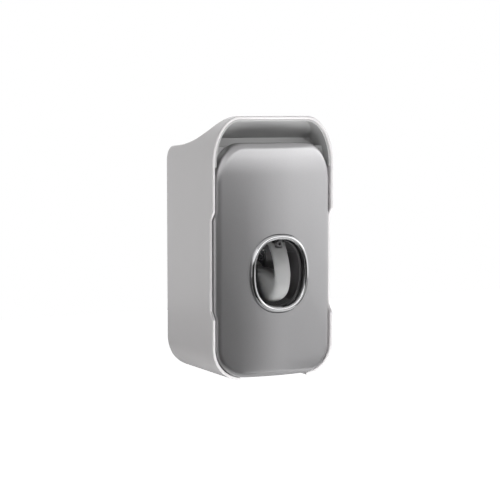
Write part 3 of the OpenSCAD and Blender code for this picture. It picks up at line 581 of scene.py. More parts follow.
def oval_towards(sizes, target, grow_x, grow_z):
    """The grown oval's point in the direction of a target, seen from the oval's middle."""
    wide, tall = sizes.oval_half_width + grow_x, sizes.oval_half_height + grow_z
    power = sizes.oval_power / 2
    direction = math.atan2(target[1] - oval_z, target[0])
    across, up = math.cos(direction), math.sin(direction) * wide / tall
    turn = math.atan2(signed_root(up, power), signed_root(across, power))
    return (
        wide * signed_root(math.cos(turn), 1 / power),
        oval_z + tall * signed_root(math.sin(turn), 1 / power),
    )


def placed(y, z, points):
    """Outline points that are given in millimetres from a place."""
    return [(y + depth * MM, z + height * MM) for depth, height in points]


def circle(x, z, radius, depth, steps):
    """Points of an upright circle that faces along Y."""
    turns = [2 * math.pi * i / steps for i in range(steps)]
    return [(x + radius * math.cos(t), depth, z + radius * math.sin(t)) for t in turns]


def lathe(name, profile, x, z, steps, closed_rows):
    """A profile of (radius, depth) points turned about an axis along Y."""
    return mesh_from_rows(name, [circle(x, z, *point, steps) for point in profile], closed_rows)


def extruded(outline, low_x, high_x):
    """A closed slab from an outline of (depth, height) points, between two places across."""
    work = bmesh.new()
    left = [work.verts.new((low_x, y, z)) for y, z in outline]
    right = [work.verts.new((high_x, y, z)) for y, z in outline]
    work.faces.new(left)
    work.faces.new(right[::-1])
    for i in range(len(outline)):
        after = (i + 1) % len(outline)
        work.faces.new((left[i], right[i], right[after], left[after]))
    bmesh.ops.recalc_face_normals(work, faces=work.faces)
    if work.calc_volume(signed=True) < 0:
        bmesh.ops.reverse_faces(work, faces=work.faces)
    return work


def slab(name, outline, low_x, high_x):
    return add_object(name, mesh_of(name, extruded(outline, low_x, high_x)))


def rod_across(name, y, z, radius, low_x, high_x):
    """A rod along X."""
    outline = [(a, b) for a, depth, b in circle(y, z, radius, 0, ROD_STEPS)]
    return slab(name, outline, low_x, high_x)


def combined(name, base, steps):
    """One mesh from an object joined with others or cut by them, which are all used up."""
    for operation, other in steps:
        modifier = base.modifiers.new(operation.title(), "BOOLEAN")
        modifier.operation = operation
        modifier.solver = "EXACT"
        modifier.object = other
    mesh = evaluated_mesh(name, base)
    for part in [base] + [other for operation, other in steps]:
        bpy.data.objects.remove(part)
    shade_by_angle(mesh)
    return mesh


def node_islands(node):
    """Lowest and highest corners of each loose part of a CAD node."""
    work = bmesh.new()
    work.from_mesh(cad_nodes[node].data)
    bmesh.ops.remove_doubles(work, verts=work.verts, dist=MERGE_DISTANCE)
    left = set(work.verts)
    boxes = []
    while left:
        edge_of_search = [left.pop()]
        found = list(edge_of_search)
        while edge_of_search:
            vertex = edge_of_search.pop()
            for edge in vertex.link_edges:
                other = edge.other_vert(vertex)
                if other in left:
                    left.remove(other)
                    found.append(other)
                    edge_of_search.append(other)
        low = Vector([min(v.co[i] for v in found) for i in range(3)])
        high = Vector([max(v.co[i] for v in found) for i in range(3)])
        boxes.append((low, high))
    work.free()
    return sorted(boxes, key=lambda box: tuple(round(part, 5) for part in box[0]))


# Geometry Nodes

def geometry_graph(name, inputs):
    """A Geometry Nodes tree with a geometry input and named number inputs."""
    tree = bpy.data.node_groups.new(name, "GeometryNodeTree")
    tree.interface.new_socket("Geometry", in_out="INPUT", socket_type="NodeSocketGeometry")
    tree.interface.new_socket("Geometry", in_out="OUTPUT", socket_type="NodeSocketGeometry")
    for label in inputs:
        tree.interface.new_socket(label, in_out="INPUT", socket_type="NodeSocketFloat")
    graph = Graph(tree)
    return graph, graph.add("NodeGroupInput")


def end_graph(graph, shape, material):
    """Ends a tree in Realize Instances and Set Material."""
    whole = graph.add("GeometryNodeRealizeInstances", {}, {"Geometry": shape})
    whole = graph.add("GeometryNodeSetMaterial", {}, {"Geometry": whole, "Material": material})
    graph.add("NodeGroupOutput", {}, {"Geometry": whole})
    return graph


def grown_mesh(name, graph, seed_mesh, values):
    """Runs a tree on a seed mesh and returns the plain mesh that comes out."""
    seed = add_object(name + "_seed", seed_mesh)
    modifier = seed.modifiers.new("Nodes", "NODES")
    modifier.node_group = graph.tree
    for item in graph.tree.interface.items_tree:
        if item.name in values:
            modifier[item.identifier] = float(values[item.name])
    mesh = evaluated_mesh(name, seed)
    seed.modifiers.remove(modifier)
    bpy.data.objects.remove(seed)
    with edited(mesh) as work:
        bmesh.ops.remove_doubles(work, verts=work.verts, dist=MERGE_DISTANCE)
        bmesh.ops.recalc_face_normals(work, faces=work.faces)
    shade_by_angle(mesh)
    return mesh


def signed_power(wave, power):
    """A wave's socket raised to a power with its sign kept."""
    return wave.maths("SIGN") * (wave.maths("ABSOLUTE") ** power)


RING_INPUTS = ("Half width", "Half height", "Squareness", "Side band", "Top band", "Front", "Back",
               "Middle height", "Band roundness", "Flange width", "Flange depth")
RING_STEPS = 144
LAP_STEPS = 40
# Turns the start of the ring's cross-section away from its sharp points, where the power
# of a sine that isn't quite 0 would leave the seam open.
LAP_SHIFT = math.pi / LAP_STEPS
FLANGE_ROUNDNESS = 8.0
FLANGE_START = 0.4
FLANGE_GAP = 0.02 * MM


def ring_graph(material):
    """A rounded band that follows the squarish oval, with a thin flange at its back."""
    graph, given = geometry_graph("Ring round an oval", RING_INPUTS)
    (half_width, half_height, squareness, side_band, top_band, front, back,
     middle_height, roundness, flange_width, flange_depth) = [given.output(name) for name in RING_INPUTS]
    power = 2 / squareness

    def band(side, top, low, high, rounding, start):
        grid = graph.add("GeometryNodeMeshGrid", {}, {
            "Size X": 1.0, "Size Y": 1.0, "Vertices X": RING_STEPS + 1, "Vertices Y": LAP_STEPS + 1})
        place = graph.add("ShaderNodeSeparateXYZ", {}, {
            "Vector": graph.add("GeometryNodeInputPosition")})
        turn = (place + 0.5) * (2 * math.pi)
        lap = (place.output("Y") + 0.5) * (2 * math.pi) + LAP_SHIFT
        across = start + (1 - start) * (0.5 + 0.5 * signed_power(lap.maths("COSINE"), 2 / rounding))
        depth = 0.5 * signed_power(lap.maths("SINE"), 2 / rounding)
        x = (half_width + across * side) * signed_power(turn.maths("COSINE"), power)
        z = (half_height + across * top) * signed_power(turn.maths("SINE"), power)
        y = (low + high) * 0.5 + depth * (high - low)
        moved = graph.add("GeometryNodeSetPosition", {}, {
            "Geometry": grid, "Position": graph.vector(x, y, z + middle_height)})
        return graph.add("GeometryNodeMergeByDistance", {}, {
            "Geometry": moved, "Distance": MERGE_DISTANCE})

    shape = graph.add("GeometryNodeJoinGeometry", {}, {"Geometry": [
        band(side_band, top_band, front, back, roundness, 0.0),
        band(side_band + flange_width, top_band + flange_width, back - flange_depth,
             back - FLANGE_GAP, FLANGE_ROUNDNESS, FLANGE_START),
    ]})
    return end_graph(graph, shape, material)


SCREW_INPUTS = ("Head radius", "Head height", "Thread radius", "Recess width", "Recess depth")


def screw_graph(material):
    """Pan-head screws with a cross recess on the seed's points, aimed by its attributes."""
    graph, given = geometry_graph("Screws", SCREW_INPUTS)
    radius, height, thread, width, sink = [given.output(name) for name in SCREW_INPUTS]
    dome = radius * 1.25
    reach = radius * 1.28

    def moved(shape, z):
        return graph.add("GeometryNodeTransform", {}, {
            "Geometry": shape, "Translation": graph.vector(z=z)})

    def block(x, y, z):
        return graph.add("GeometryNodeMeshCube", {}, {"Size": graph.vector(x, y, z)})

    def attribute(name, kind):
        return graph.add("GeometryNodeInputNamedAttribute", {"data_type": kind}, {"Name": name})

    blank = graph.add("GeometryNodeMeshCylinder", {}, {
        "Vertices": 40, "Radius": radius, "Depth": height * 2})
    ball = graph.add("GeometryNodeMeshUVSphere", {}, {"Segments": 40, "Rings": 24, "Radius": dome})
    upper = moved(block(radius * 4, radius * 4, height * 2), height)
    head = graph.add("GeometryNodeMeshBoolean", {"operation": "INTERSECT", "solver": "EXACT"}, {
        "Mesh 2": [blank, moved(ball, height - dome), upper]})
    slots = [moved(block(x, y, sink * 2), height) for x, y in ((reach, width), (width, reach))]
    head = graph.add("GeometryNodeMeshBoolean", {"operation": "DIFFERENCE", "solver": "EXACT"}, {
        "Mesh 1": head, "Mesh 2": slots})
    shank = graph.add("GeometryNodeMeshCylinder", {}, {
        "Vertices": 20, "Radius": thread, "Depth": 1.0})
    turned = graph.add("FunctionNodeAlignRotationToVector", {"axis": "Z"}, {
        "Vector": attribute("aim", "FLOAT_VECTOR")})
    heads = graph.add("GeometryNodeInstanceOnPoints", {}, {
        "Points": given, "Instance": head, "Rotation": turned})
    shanks = graph.add("GeometryNodeInstanceOnPoints", {}, {
        "Points": given, "Instance": moved(shank, -0.5), "Rotation": turned,
        "Scale": graph.vector(1.0, 1.0, attribute("length", "FLOAT"))})
    shape = graph.add("GeometryNodeJoinGeometry", {}, {"Geometry": [heads, shanks]})
    return end_graph(graph, shape, material)


def screw_seats(rows, head_height):
    """A mesh of points at the screws' seats, each with its aim and its length."""
    seats = []
    for node, axis, side in rows:
        for low, high in node_islands(node):
            outward = side if side else (-1 if (low + high)[axis] > 0 else 1)
            seat = (low + high) / 2
            seat[axis] = (high if outward > 0 else low)[axis] - outward * head_height
            aim = Vector((0, 0, 0))
            aim[axis] = outward
            seats.append((seat, aim, high[axis] - low[axis] - head_height))
    mesh = bpy.data.meshes.new("screw_seats")
    mesh.from_pydata([seat for seat, aim, length in seats], [], [])
    mesh.attributes.new("aim", "FLOAT_VECTOR", "POINT")
    mesh.attributes.new("length", "FLOAT", "POINT")
    for i, (seat, aim, length) in enumerate(seats):
        mesh.attributes["aim"].data[i].vector = aim
        mesh.attributes["length"].data[i].value = length
    return mesh


SPRING_INPUTS = ("Turns", "Radius", "Length", "Wire radius")


def spring_graph(material):
    """A coil of round wire along Z."""
    graph, given = geometry_graph("Coil spring", SPRING_INPUTS)
    turns, radius, length, wire_radius = [given.output(name) for name in SPRING_INPUTS]
    path = graph.add("GeometryNodeCurveSpiral", {}, {
        "Resolution": 40, "Rotations": turns, "Start Radius": radius, "End Radius": radius,
        "Height": length})
    wire = graph.add("GeometryNodeCurvePrimitiveCircle", {}, {
        "Resolution": 12, "Radius": wire_radius})
    shape = graph.add("GeometryNodeCurveToMesh", {}, {
        "Curve": path, "Profile Curve": wire, "Fill Caps": True})
    return end_graph(graph, shape, material)


# Operators, one for each piece or group of like pieces

def near_walls(work):
    """The shell's own edges, not those of the bosses inside it."""
    wall = 2.6 * MM
    hood_low = panel_high.z - 8 * MM
    rim_back = shell_low.y + 6 * MM

    def is_near(edge):
        middle = (edge.verts[0].co + edge.verts[1].co) / 2
        return (
            abs(middle.x) > shell_high.x - wall or middle.z < shell_low.z + wall
            or middle.z > hood_low or edge.verts[0].co.y < rim_back
        )

    return is_near


def refine_all(nodes, width, choose=every_edge):
    """Finishes nodes that are rounded alike, as the end of an operator."""
    for node in nodes:
        refined(node, width, choose)
    return {"FINISHED"}


class MakeShell(bpy.types.Operator):
    """Finish the hooded outer shell and the liner of the niche under its hood"""

    bl_idname = "dispenser.make_shell"
    bl_label = "Shell and liner"

    def execute(self, context):
        sizes = context.scene.dispenser_sizes
        refined("outer_shell", sizes.edge_round, near_walls, steps=3, joined=True)
        return refine_all(["hood_liner"], sizes.inner_round, outer_edges)


class MakeBack(bpy.types.Operator):
    """Finish the back cover, the wall plate and its foam pad"""

    bl_idname = "dispenser.make_back"
    bl_label = "Back and wall plate"

    def execute(self, context):
        nodes = ("back_cover", "wall_plate", "adhesive_pad")
        return refine_all(nodes, context.scene.dispenser_sizes.inner_round, outer_edges)


class MakeRack(bpy.types.Operator):
    """Finish the rack below, its rubber grips and the two rails"""

    bl_idname = "dispenser.make_rack"
    bl_label = "Rack and rails"

    def execute(self, context):
        nodes = ("brush_rack", "neck_grips", "left_rail", "right_rail")
        return refine_all(nodes, context.scene.dispenser_sizes.inner_round, outer_edges)


class MakeFrontPanel(bpy.types.Operator):
    """Shape the crowned front panel with its soft edge and its screw posts"""

    bl_idname = "dispenser.make_front_panel"
    bl_label = "Front panel"
    upper_roll = 24 * MM
    lower_roll = 13 * MM
    ring_gap = 0.05 * MM
    round_steps = 10
    face_steps = 24
    post_bore = 1.25 * MM
    post_radius = 3.4 * MM
    post_sink = 0.6 * MM
    post_gap = 0.05 * MM
    post_steps = 24

    def execute(self, context):
        sizes = context.scene.dispenser_sizes
        half, crown, wall = panel_high.x, sizes.panel_crown, sizes.panel_wall
        self.roll = sizes.panel_roll
        self.crown_radius = (half * half + crown * crown) / (2 * crown)
        outside = self.skin(sizes, 0, sizes.panel_round)
        inside = self.skin(sizes, wall, sizes.panel_round - wall)
        parts = [mesh_from_rows("front_panel_finish", outside + inside[::-1], True)]
        post_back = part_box("module_frame")[0].y - self.post_gap
        for low, high in node_islands("frame_screws"):
            x, z = (low.x + high.x) / 2, (low.z + high.z) / 2
            front = self.face_depth(x, z, wall) - self.post_sink
            profile = [(self.post_radius, post_back), (self.post_radius, front),
                       (self.post_bore, front), (self.post_bore, post_back)]
            parts.append(lathe("post", profile, x, z, self.post_steps, True))
        piece = add_object("front_panel_finish", joined_mesh("front_panel_finish", parts))
        settle(piece, "front_panel")
        return {"FINISHED"}

    def face_depth(self, x, z, inset):
        """The face's place along Y: a cylinder that falls back near its upper and lower edges."""
        radius = self.crown_radius - inset
        upper = ramp(z, panel_high.z - self.upper_roll, panel_high.z)
        lower = ramp(z, panel_low.z + self.lower_roll, panel_low.z)
        roll = self.roll * (upper * upper + 0.5 * lower * lower)
        return panel_low.y + self.crown_radius - math.sqrt(radius * radius - x * x) + roll

    def skin(self, sizes, inset, rounding):
        """Rows from the skirt's back edge over the rounded edge to the opening."""
        back = panel_high.y
        edge = panel_outline(sizes, inset)
        mouth = [self.face_depth(x, z, inset) + rounding for x, z in edge]
        rows = [
            [(x, back + (m - back) * part, z) for (x, z), m in zip(edge, mouth)]
            for part in (0, 0.33, 0.67)
        ]
        for turn in quarter_turns(self.round_steps):
            loop = panel_outline(sizes, inset + rounding * (1 - math.cos(turn)))
            fall = rounding * (1 - math.sin(turn))
            rows.append([(x, self.face_depth(x, z, inset) + fall, z) for x, z in loop])
        rim = panel_outline(sizes, inset + rounding)
        side, top = sizes.band_side + self.ring_gap, sizes.band_top + self.ring_gap
        target = [oval_towards(sizes, point, side, top) for point in rim]
        for i in range(1, self.face_steps + 1):
            loop = [between(a, b, i / self.face_steps) for a, b in zip(rim, target)]
            rows.append([(x, self.face_depth(x, z, inset), z) for x, z in loop])
        return rows


class MakeTrimRing(bpy.types.Operator):
    """Grow the chrome ring round the oval opening"""

    bl_idname = "dispenser.make_trim_ring"
    bl_label = "Chrome ring"

    def execute(self, context):
        sizes = context.scene.dispenser_sizes
        graph = ring_graph(finish_of("ring_chrome"))
        mesh = grown_mesh("trim_ring_finish", graph, bpy.data.meshes.new("ring_seed"), {
            "Half width": sizes.oval_half_width, "Half height": sizes.oval_half_height,
            "Squareness": sizes.oval_power, "Side band": sizes.band_side,
            "Top band": sizes.band_top, "Front": ring_low.y, "Back": ring_high.y,
            "Middle height": oval_z, "Band roundness": 2.4,
            "Flange width": 1.6 * MM, "Flange depth": 1.5 * MM,
        })
        settle(add_object("trim_ring_finish", mesh), "trim_ring")
        return {"FINISHED"}


class MakeChamber(bpy.types.Operator):
    """Finish the black chamber, the nozzle in it, the lever's pin and the pin's clips"""

    bl_idname = "dispenser.make_chamber"
    bl_label = "Chamber and nozzle"

    def execute(self, context):
        sizes = context.scene.dispenser_sizes
        refine_all(("chamber_shell", "pin_clips"), sizes.inner_round)
        refined("lever_pin", PIN_ROUND)
        mouth_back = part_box("outlet_nozzle")[0].y + 1 * MM

        def mouth_edges(work):
            return lambda edge: edge.verts[0].co.y < mouth_back

        return refine_all(["outlet_nozzle"], sizes.inner_round, mouth_edges)


class MakeLever(bpy.types.Operator):
    """Shape the push lever: a crowned blade that sweeps under, its web, arms and hubs"""

    bl_idname = "dispenser.make_lever"
    bl_label = "Push lever"
    belly_drop = 5.5 * MM
    top_drop = 2 * MM
    toe_growth = 0.9 * MM
    fullness = 2 / 2.3
    slot_half_width = 2.8 * MM
    slot_points = ((-5, -3.8), (30, -3.8), (30, 5), (-5, 5))
    web_wall = 2 * MM
    web_steps = 14
    arm_inside = 3 * MM
    arm_gap = 0.02 * MM
    hub_radius = 4 * MM
    bore_gap = 0.1 * MM
    through = 10 * MM

    def execute(self, context):
        sizes = context.scene.dispenser_sizes
        low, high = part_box("push_lever")
        pin_low, pin_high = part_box("lever_pin")
        bulb_low, bulb_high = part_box("pump_bulb")
        self.half, self.belly, self.back = high.x, low.y, high.y
        self.belly_z = oval_z - self.belly_drop
        self.top = oval_z + sizes.oval_half_height - self.top_drop
        self.drop = self.belly_z - low.z + self.toe_growth
        self.bulb_z = (bulb_low.z + bulb_high.z) / 2
        self.bow_radius, self.reach = sizes.lever_bow, sizes.lever_reach
        blade = add_object("blade", self.blade_mesh(sizes.lever_crown))
        web = self.web_piece(sizes.web_round)
        slot_outline = placed(self.belly, self.top, self.slot_points)
        slot = slab("slot", slot_outline, -self.slot_half_width, self.slot_half_width)
        inside = self.half - self.web_wall
        hollow = slab("hollow", self.hollow_outline(), -inside, inside)
        parts = [
            combined("blade", blade, [("DIFFERENCE", slot)]),
            combined("web", web, [("DIFFERENCE", hollow)]),
        ]
        pin_y, pin_z = (pin_low.y + pin_high.y) / 2, (pin_low.z + pin_high.z) / 2
        bore_radius = (pin_high.z - pin_low.z) / 2 + self.bore_gap
        for side in (-1, 1):
            ends = sorted((side * self.arm_inside, side * (self.half - self.arm_gap)))
            arm = slab("arm", self.arm_outline(pin_y, pin_z), *ends)
            hub = rod_across("hub", pin_y, pin_z, self.hub_radius, *ends)
            bore = rod_across("bore", pin_y, pin_z, bore_radius, -self.through, self.through)
            parts.append(combined("arm", arm, [("UNION", hub), ("DIFFERENCE", bore)]))
        piece = add_object("push_lever_finish", joined_mesh("push_lever_finish", parts))
        keep_faces_flat(piece)
        settle(piece, "push_lever")
        return {"FINISHED"}

    def bow(self, z):
        """The blade's depth above its belly, on its circle."""
        radius = self.bow_radius
        return self.belly + radius - math.sqrt(radius ** 2 - (z - self.belly_z) ** 2)

    def sweep(self, degrees, inset=0.0):
        """A point under the belly, from the belly at 0 to the toe at 90."""
        turn = math.radians(degrees)
        return (
            self.belly + self.reach - (self.reach - inset) * max(0, math.cos(turn)) ** self.fullness,
            self.belly_z - (self.drop - inset) * math.sin(turn) ** self.fullness,
        )

    def blade_mesh(self, crown):
        """A crowned strip along the bow and the sweep, thicker and rounder where the web meets it."""
        bow_steps, sweep_steps = 24, 30
        depth_above, depth_below, depth_at_toe = 2.6 * MM, 6.5 * MM, 3.1 * MM
        round_above, round_below = 1.3 * MM, 4.0 * MM
        stations = []
        for i in range(bow_steps + 1):
            z = self.top - (self.top - self.belly_z) * i / bow_steps
            stations.append((self.bow(z), z, self.belly + self.bow_radius, self.belly_z))
        for i in range(1, sweep_steps + 1):
            y, z = self.sweep(90 * i / sweep_steps)
            slope_y = (self.belly + self.reach - y) / self.reach ** 2
            slope_z = (self.belly_z - z) / self.drop ** 2
            stations.append((y, z, y + slope_y, z + slope_z))
        rows = []
        for y, z, toward_y, toward_z in stations:
            inward = Vector((0, toward_y - y, toward_z - z)).normalized()
            below = ramp(z, self.belly_z + 4 * MM, self.belly_z + 1.5 * MM)
            toe = ramp(y, self.belly + 12 * MM, self.belly + 27 * MM)
            depth = depth_above + (depth_below - depth_above) * below - (depth_below - depth_at_toe) * toe
            rounder = ramp(z, self.belly_z + 5 * MM, self.belly_z - 4 * MM)
            rounding = round_above + (round_below - round_above) * rounder
            rounding = min(rounding, depth - crown - 0.5 * MM)
            section = self.section(depth, crown, rounding)
            rows.append([Vector((x, y, z)) + inward * d for x, d in section])
        mesh = mesh_from_rows("blade", rows, False)
        with edited(mesh) as work:
            edges = [edge for edge in work.edges if edge.is_boundary]
            bmesh.ops.holes_fill(work, edges=edges, sides=len(rows[0]))
            bmesh.ops.recalc_face_normals(work, faces=work.faces)
        return mesh

    def section(self, depth, crown, rounding):
        """A closed cross-section of (across, behind the front) points."""
        half, small, flat_steps = self.half, 0.5 * MM, 7
        edge = half - rounding
        right = []
        for i in range(flat_steps):
            x = edge * i / flat_steps
            right.append((x, crown * (x / half) ** 2))
        start = crown * (edge / half) ** 2
        for turn in quarter_turns(8):
            right.append((edge + rounding * math.sin(turn), start + rounding * (1 - math.cos(turn))))
        for turn in quarter_turns(3):
            right.append((half - small * (1 - math.cos(turn)), depth - small * (1 - math.sin(turn))))
        right.append((half / 2, depth))
        return right + [(0, depth)] + [(-x, d) for x, d in right[:0:-1]]

    def web_piece(self, rounding):
        """The web that carries the push to the bulb, with its long upper edges well rounded."""
        top, front = self.belly_z + 2 * MM, self.belly + 5.5 * MM
        length, rise = 26.7 * MM, 4.8 * MM
        inset, toe_inset = 5.5 * MM, 1.0 * MM
        steps, toe_start = self.web_steps, 8
        outline = [
            (front + length * i / steps, top + MM + rise * math.sin(math.pi / 2 * i / steps))
            for i in range(steps + 1)
        ]
        outline += placed(self.back, self.bulb_z, ((-2, 8), (0, 6), (0, -6), (-2, -8)))
        for i in range(steps, 1, -1):
            here = inset - (inset - toe_inset) * ramp(i, toe_start, steps)
            outline.append(self.sweep(90 * i / steps, here))
        work = extruded(outline, -self.half, self.half)
        edges = [
            edge for edge in work.edges
            if abs(edge.verts[0].co.x - edge.verts[1].co.x) < MERGE_DISTANCE
            and min(edge.verts[0].co.z, edge.verts[1].co.z) > top - 0.1 * MM
            and min(edge.verts[0].co.y, edge.verts[1].co.y) > front - 0.1 * MM
        ]
        bmesh.ops.bevel(
            work, geom=edges, offset=rounding, segments=7, profile=0.5, affect="EDGES",
            clamp_overlap=False)
        return add_object("web", mesh_of("web", work))

    def hollow_outline(self):
        """The hollow in the web, which is open below behind the toe."""
        low = self.belly_z - self.drop - 1 * MM
        behind, wall = self.back - 7 * MM, 7.5 * MM
        upper = placed(self.belly, oval_z, ((9.2, -7.6), (30.2, -3)))
        lower = [(behind, self.bulb_z + 2 * MM), (behind, low), (self.belly + self.reach, low)]
        return upper + lower + [self.sweep(80, 6 * MM)] + [self.sweep(turn, wall) for turn in (60, 40, 20)]

    def arm_outline(self, pin_y, pin_z):
        """One arm, from the blade's top back and up to the hub."""
        low = self.top - 7 * MM
        return (
            placed(self.bow(self.top), self.top, ((0.6, 0),))
            + placed(self.bow(low), low, ((0.9, 0), (2.6, 0)))
            + placed(self.belly, self.top, ((12.2, -3.4),))
            + placed(pin_y, pin_z, ((-1, -4), (2.8, -2.8), (-2.8, 2.8)))
            + placed(self.belly, self.top, ((14.4, 2), (12.8, 0)))
        )


class MakePump(bpy.types.Operator):
    """Finish the front unit's frame, the pump's body, its cover, valves, gaskets and socket"""

    bl_idname = "dispenser.make_pump"
    bl_label = "Frame and pump"

    def execute(self, context):
        moulded = ("module_frame", "pump_body", "pump_cover")
        refine_all(moulded, context.scene.dispenser_sizes.inner_round, outer_edges)
        small = (
            "bulb_clamp_ring", "channel_plug", "socket_sleeve", "tube_gasket", "cover_gasket",
            "inlet_valve", "outlet_valve",
        )
        return refine_all(small, SOFT_ROUND)


class MakeBulb(bpy.types.Operator):
    """Turn the silicone pump bulb and coil the spring inside it"""

    bl_idname = "dispenser.make_bulb"
    bl_label = "Bulb and spring"
    flange = 2 * MM
    radius = 14 * MM
    wall = 1.8 * MM
    side_fullness = 0.7
    end_fullness = 0.8
    outline_steps = 28
    turn_steps = 72
    wire = 0.5 * MM
    coils = 4

    def execute(self, context):
        low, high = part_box("pump_bulb")
        centre = (0, 0, (low.z + high.z) / 2)
        profile = self.profile(low, high)
        mesh = lathe("pump_bulb_finish", profile, centre[0], centre[2], self.turn_steps, False)
        bulb = settle(add_object("pump_bulb_finish", mesh), "pump_bulb")
        spring_low, spring_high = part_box("return_spring")
        graph = spring_graph(finish_of("spring_steel"))
        coil = grown_mesh("return_spring_finish", graph, bpy.data.meshes.new("spring_seed"), {
            "Turns": self.coils, "Radius": (spring_high.x - spring_low.x) / 2 - self.wire,
            "Length": spring_high.y - spring_low.y - 2 * self.wire, "Wire radius": self.wire,
        })
        for vertex in coil.vertices:
            x, y, z = vertex.co
            vertex.co = (x, spring_high.y - self.wire - z, centre[2] + y)
        spring = settle(add_object("return_spring_finish", coil), "return_spring")
        for piece in (bulb, spring):
            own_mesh(piece)
        return {"FINISHED"}

    def profile(self, low, high):
        """The bulb's closed outline of (radius, depth): flange, outside to the pole and inside."""
        rim = (high.z - low.z) / 2
        seat = high.y - self.flange
        depth = seat - low.y
        inner_radius = self.radius - self.wall
        outer, inner = [], []
        for turn in quarter_turns(self.outline_steps):
            across = max(0.0, math.cos(turn)) ** self.side_fullness
            along = math.sin(turn) ** self.end_fullness
            outer.append((self.radius * across, seat - depth * along))
            inner.append((inner_radius * across, seat - (depth - self.wall) * along))
        mouth = [(inner_radius, high.y)]
        lip = (
            [(rim, high.y)] + placed(rim, seat, ((0, 0.4), (-0.12, 0.12), (-0.4, 0)))
            + placed(self.radius, seat, ((1.0, 0), (0.3, -0.3)))
        )
        return mouth + lip + outer[1:] + inner[::-1] + mouth


class MakeScrews(bpy.types.Operator):
    """Set the screws of the housing and of the front unit on their seats"""

    bl_idname = "dispenser.make_screws"
    bl_label = "Screws"
    # Each row is a node, the axis of its screws (0 is X) and the side of their heads along it,
    # where 0 turns the heads to the middle.
    groups = {
        "housing_screws": (
            ("back_cover_screws", 1, 1), ("rack_screws", 2, 1), ("rail_screws", 0, 0)),
        "front_unit_screws": (
            ("frame_screws", 1, 1), ("chamber_screws", 1, 1), ("pump_screws", 1, 1),
            ("clamp_screws", 1, -1), ("cover_screws", 1, 1)),
    }

    def execute(self, context):
        head_height = 1.6 * MM
        graph = screw_graph(finish_of("screw_steel"))
        for name, rows in self.groups.items():
            mesh = grown_mesh(name, graph, screw_seats(rows, head_height), {
                "Head radius": 2.5 * MM, "Head height": head_height, "Thread radius": 1.22 * MM,
                "Recess width": 0.8 * MM, "Recess depth": 0.7 * MM,
            })
            settle(add_object(name, mesh), *[node for node, axis, side in rows])
        return {"FINISHED"}


class MakeCatch(bpy.types.Operator):
    """Finish the magnets and the steel discs that hold the front unit shut"""

    bl_idname = "dispenser.make_catch"
    bl_label = "Magnets and discs"

    def execute(self, context):
        return refine_all(("latch_magnets", "keeper_discs"), DISC_ROUND)


WHITE = (1, 1, 1, 1)
STAGE_CENTRE = Vector((0, -0.045, -0.01))


def away_from_part(azimuth, elevation):
    """The direction from the part at an azimuth and an elevation in degrees, 0 at its front."""
    across, up = math.radians(azimuth), math.radians(elevation)
    return Vector((math.sin(across) * math.cos(up), -math.cos(across) * math.cos(up), math.sin(up)))


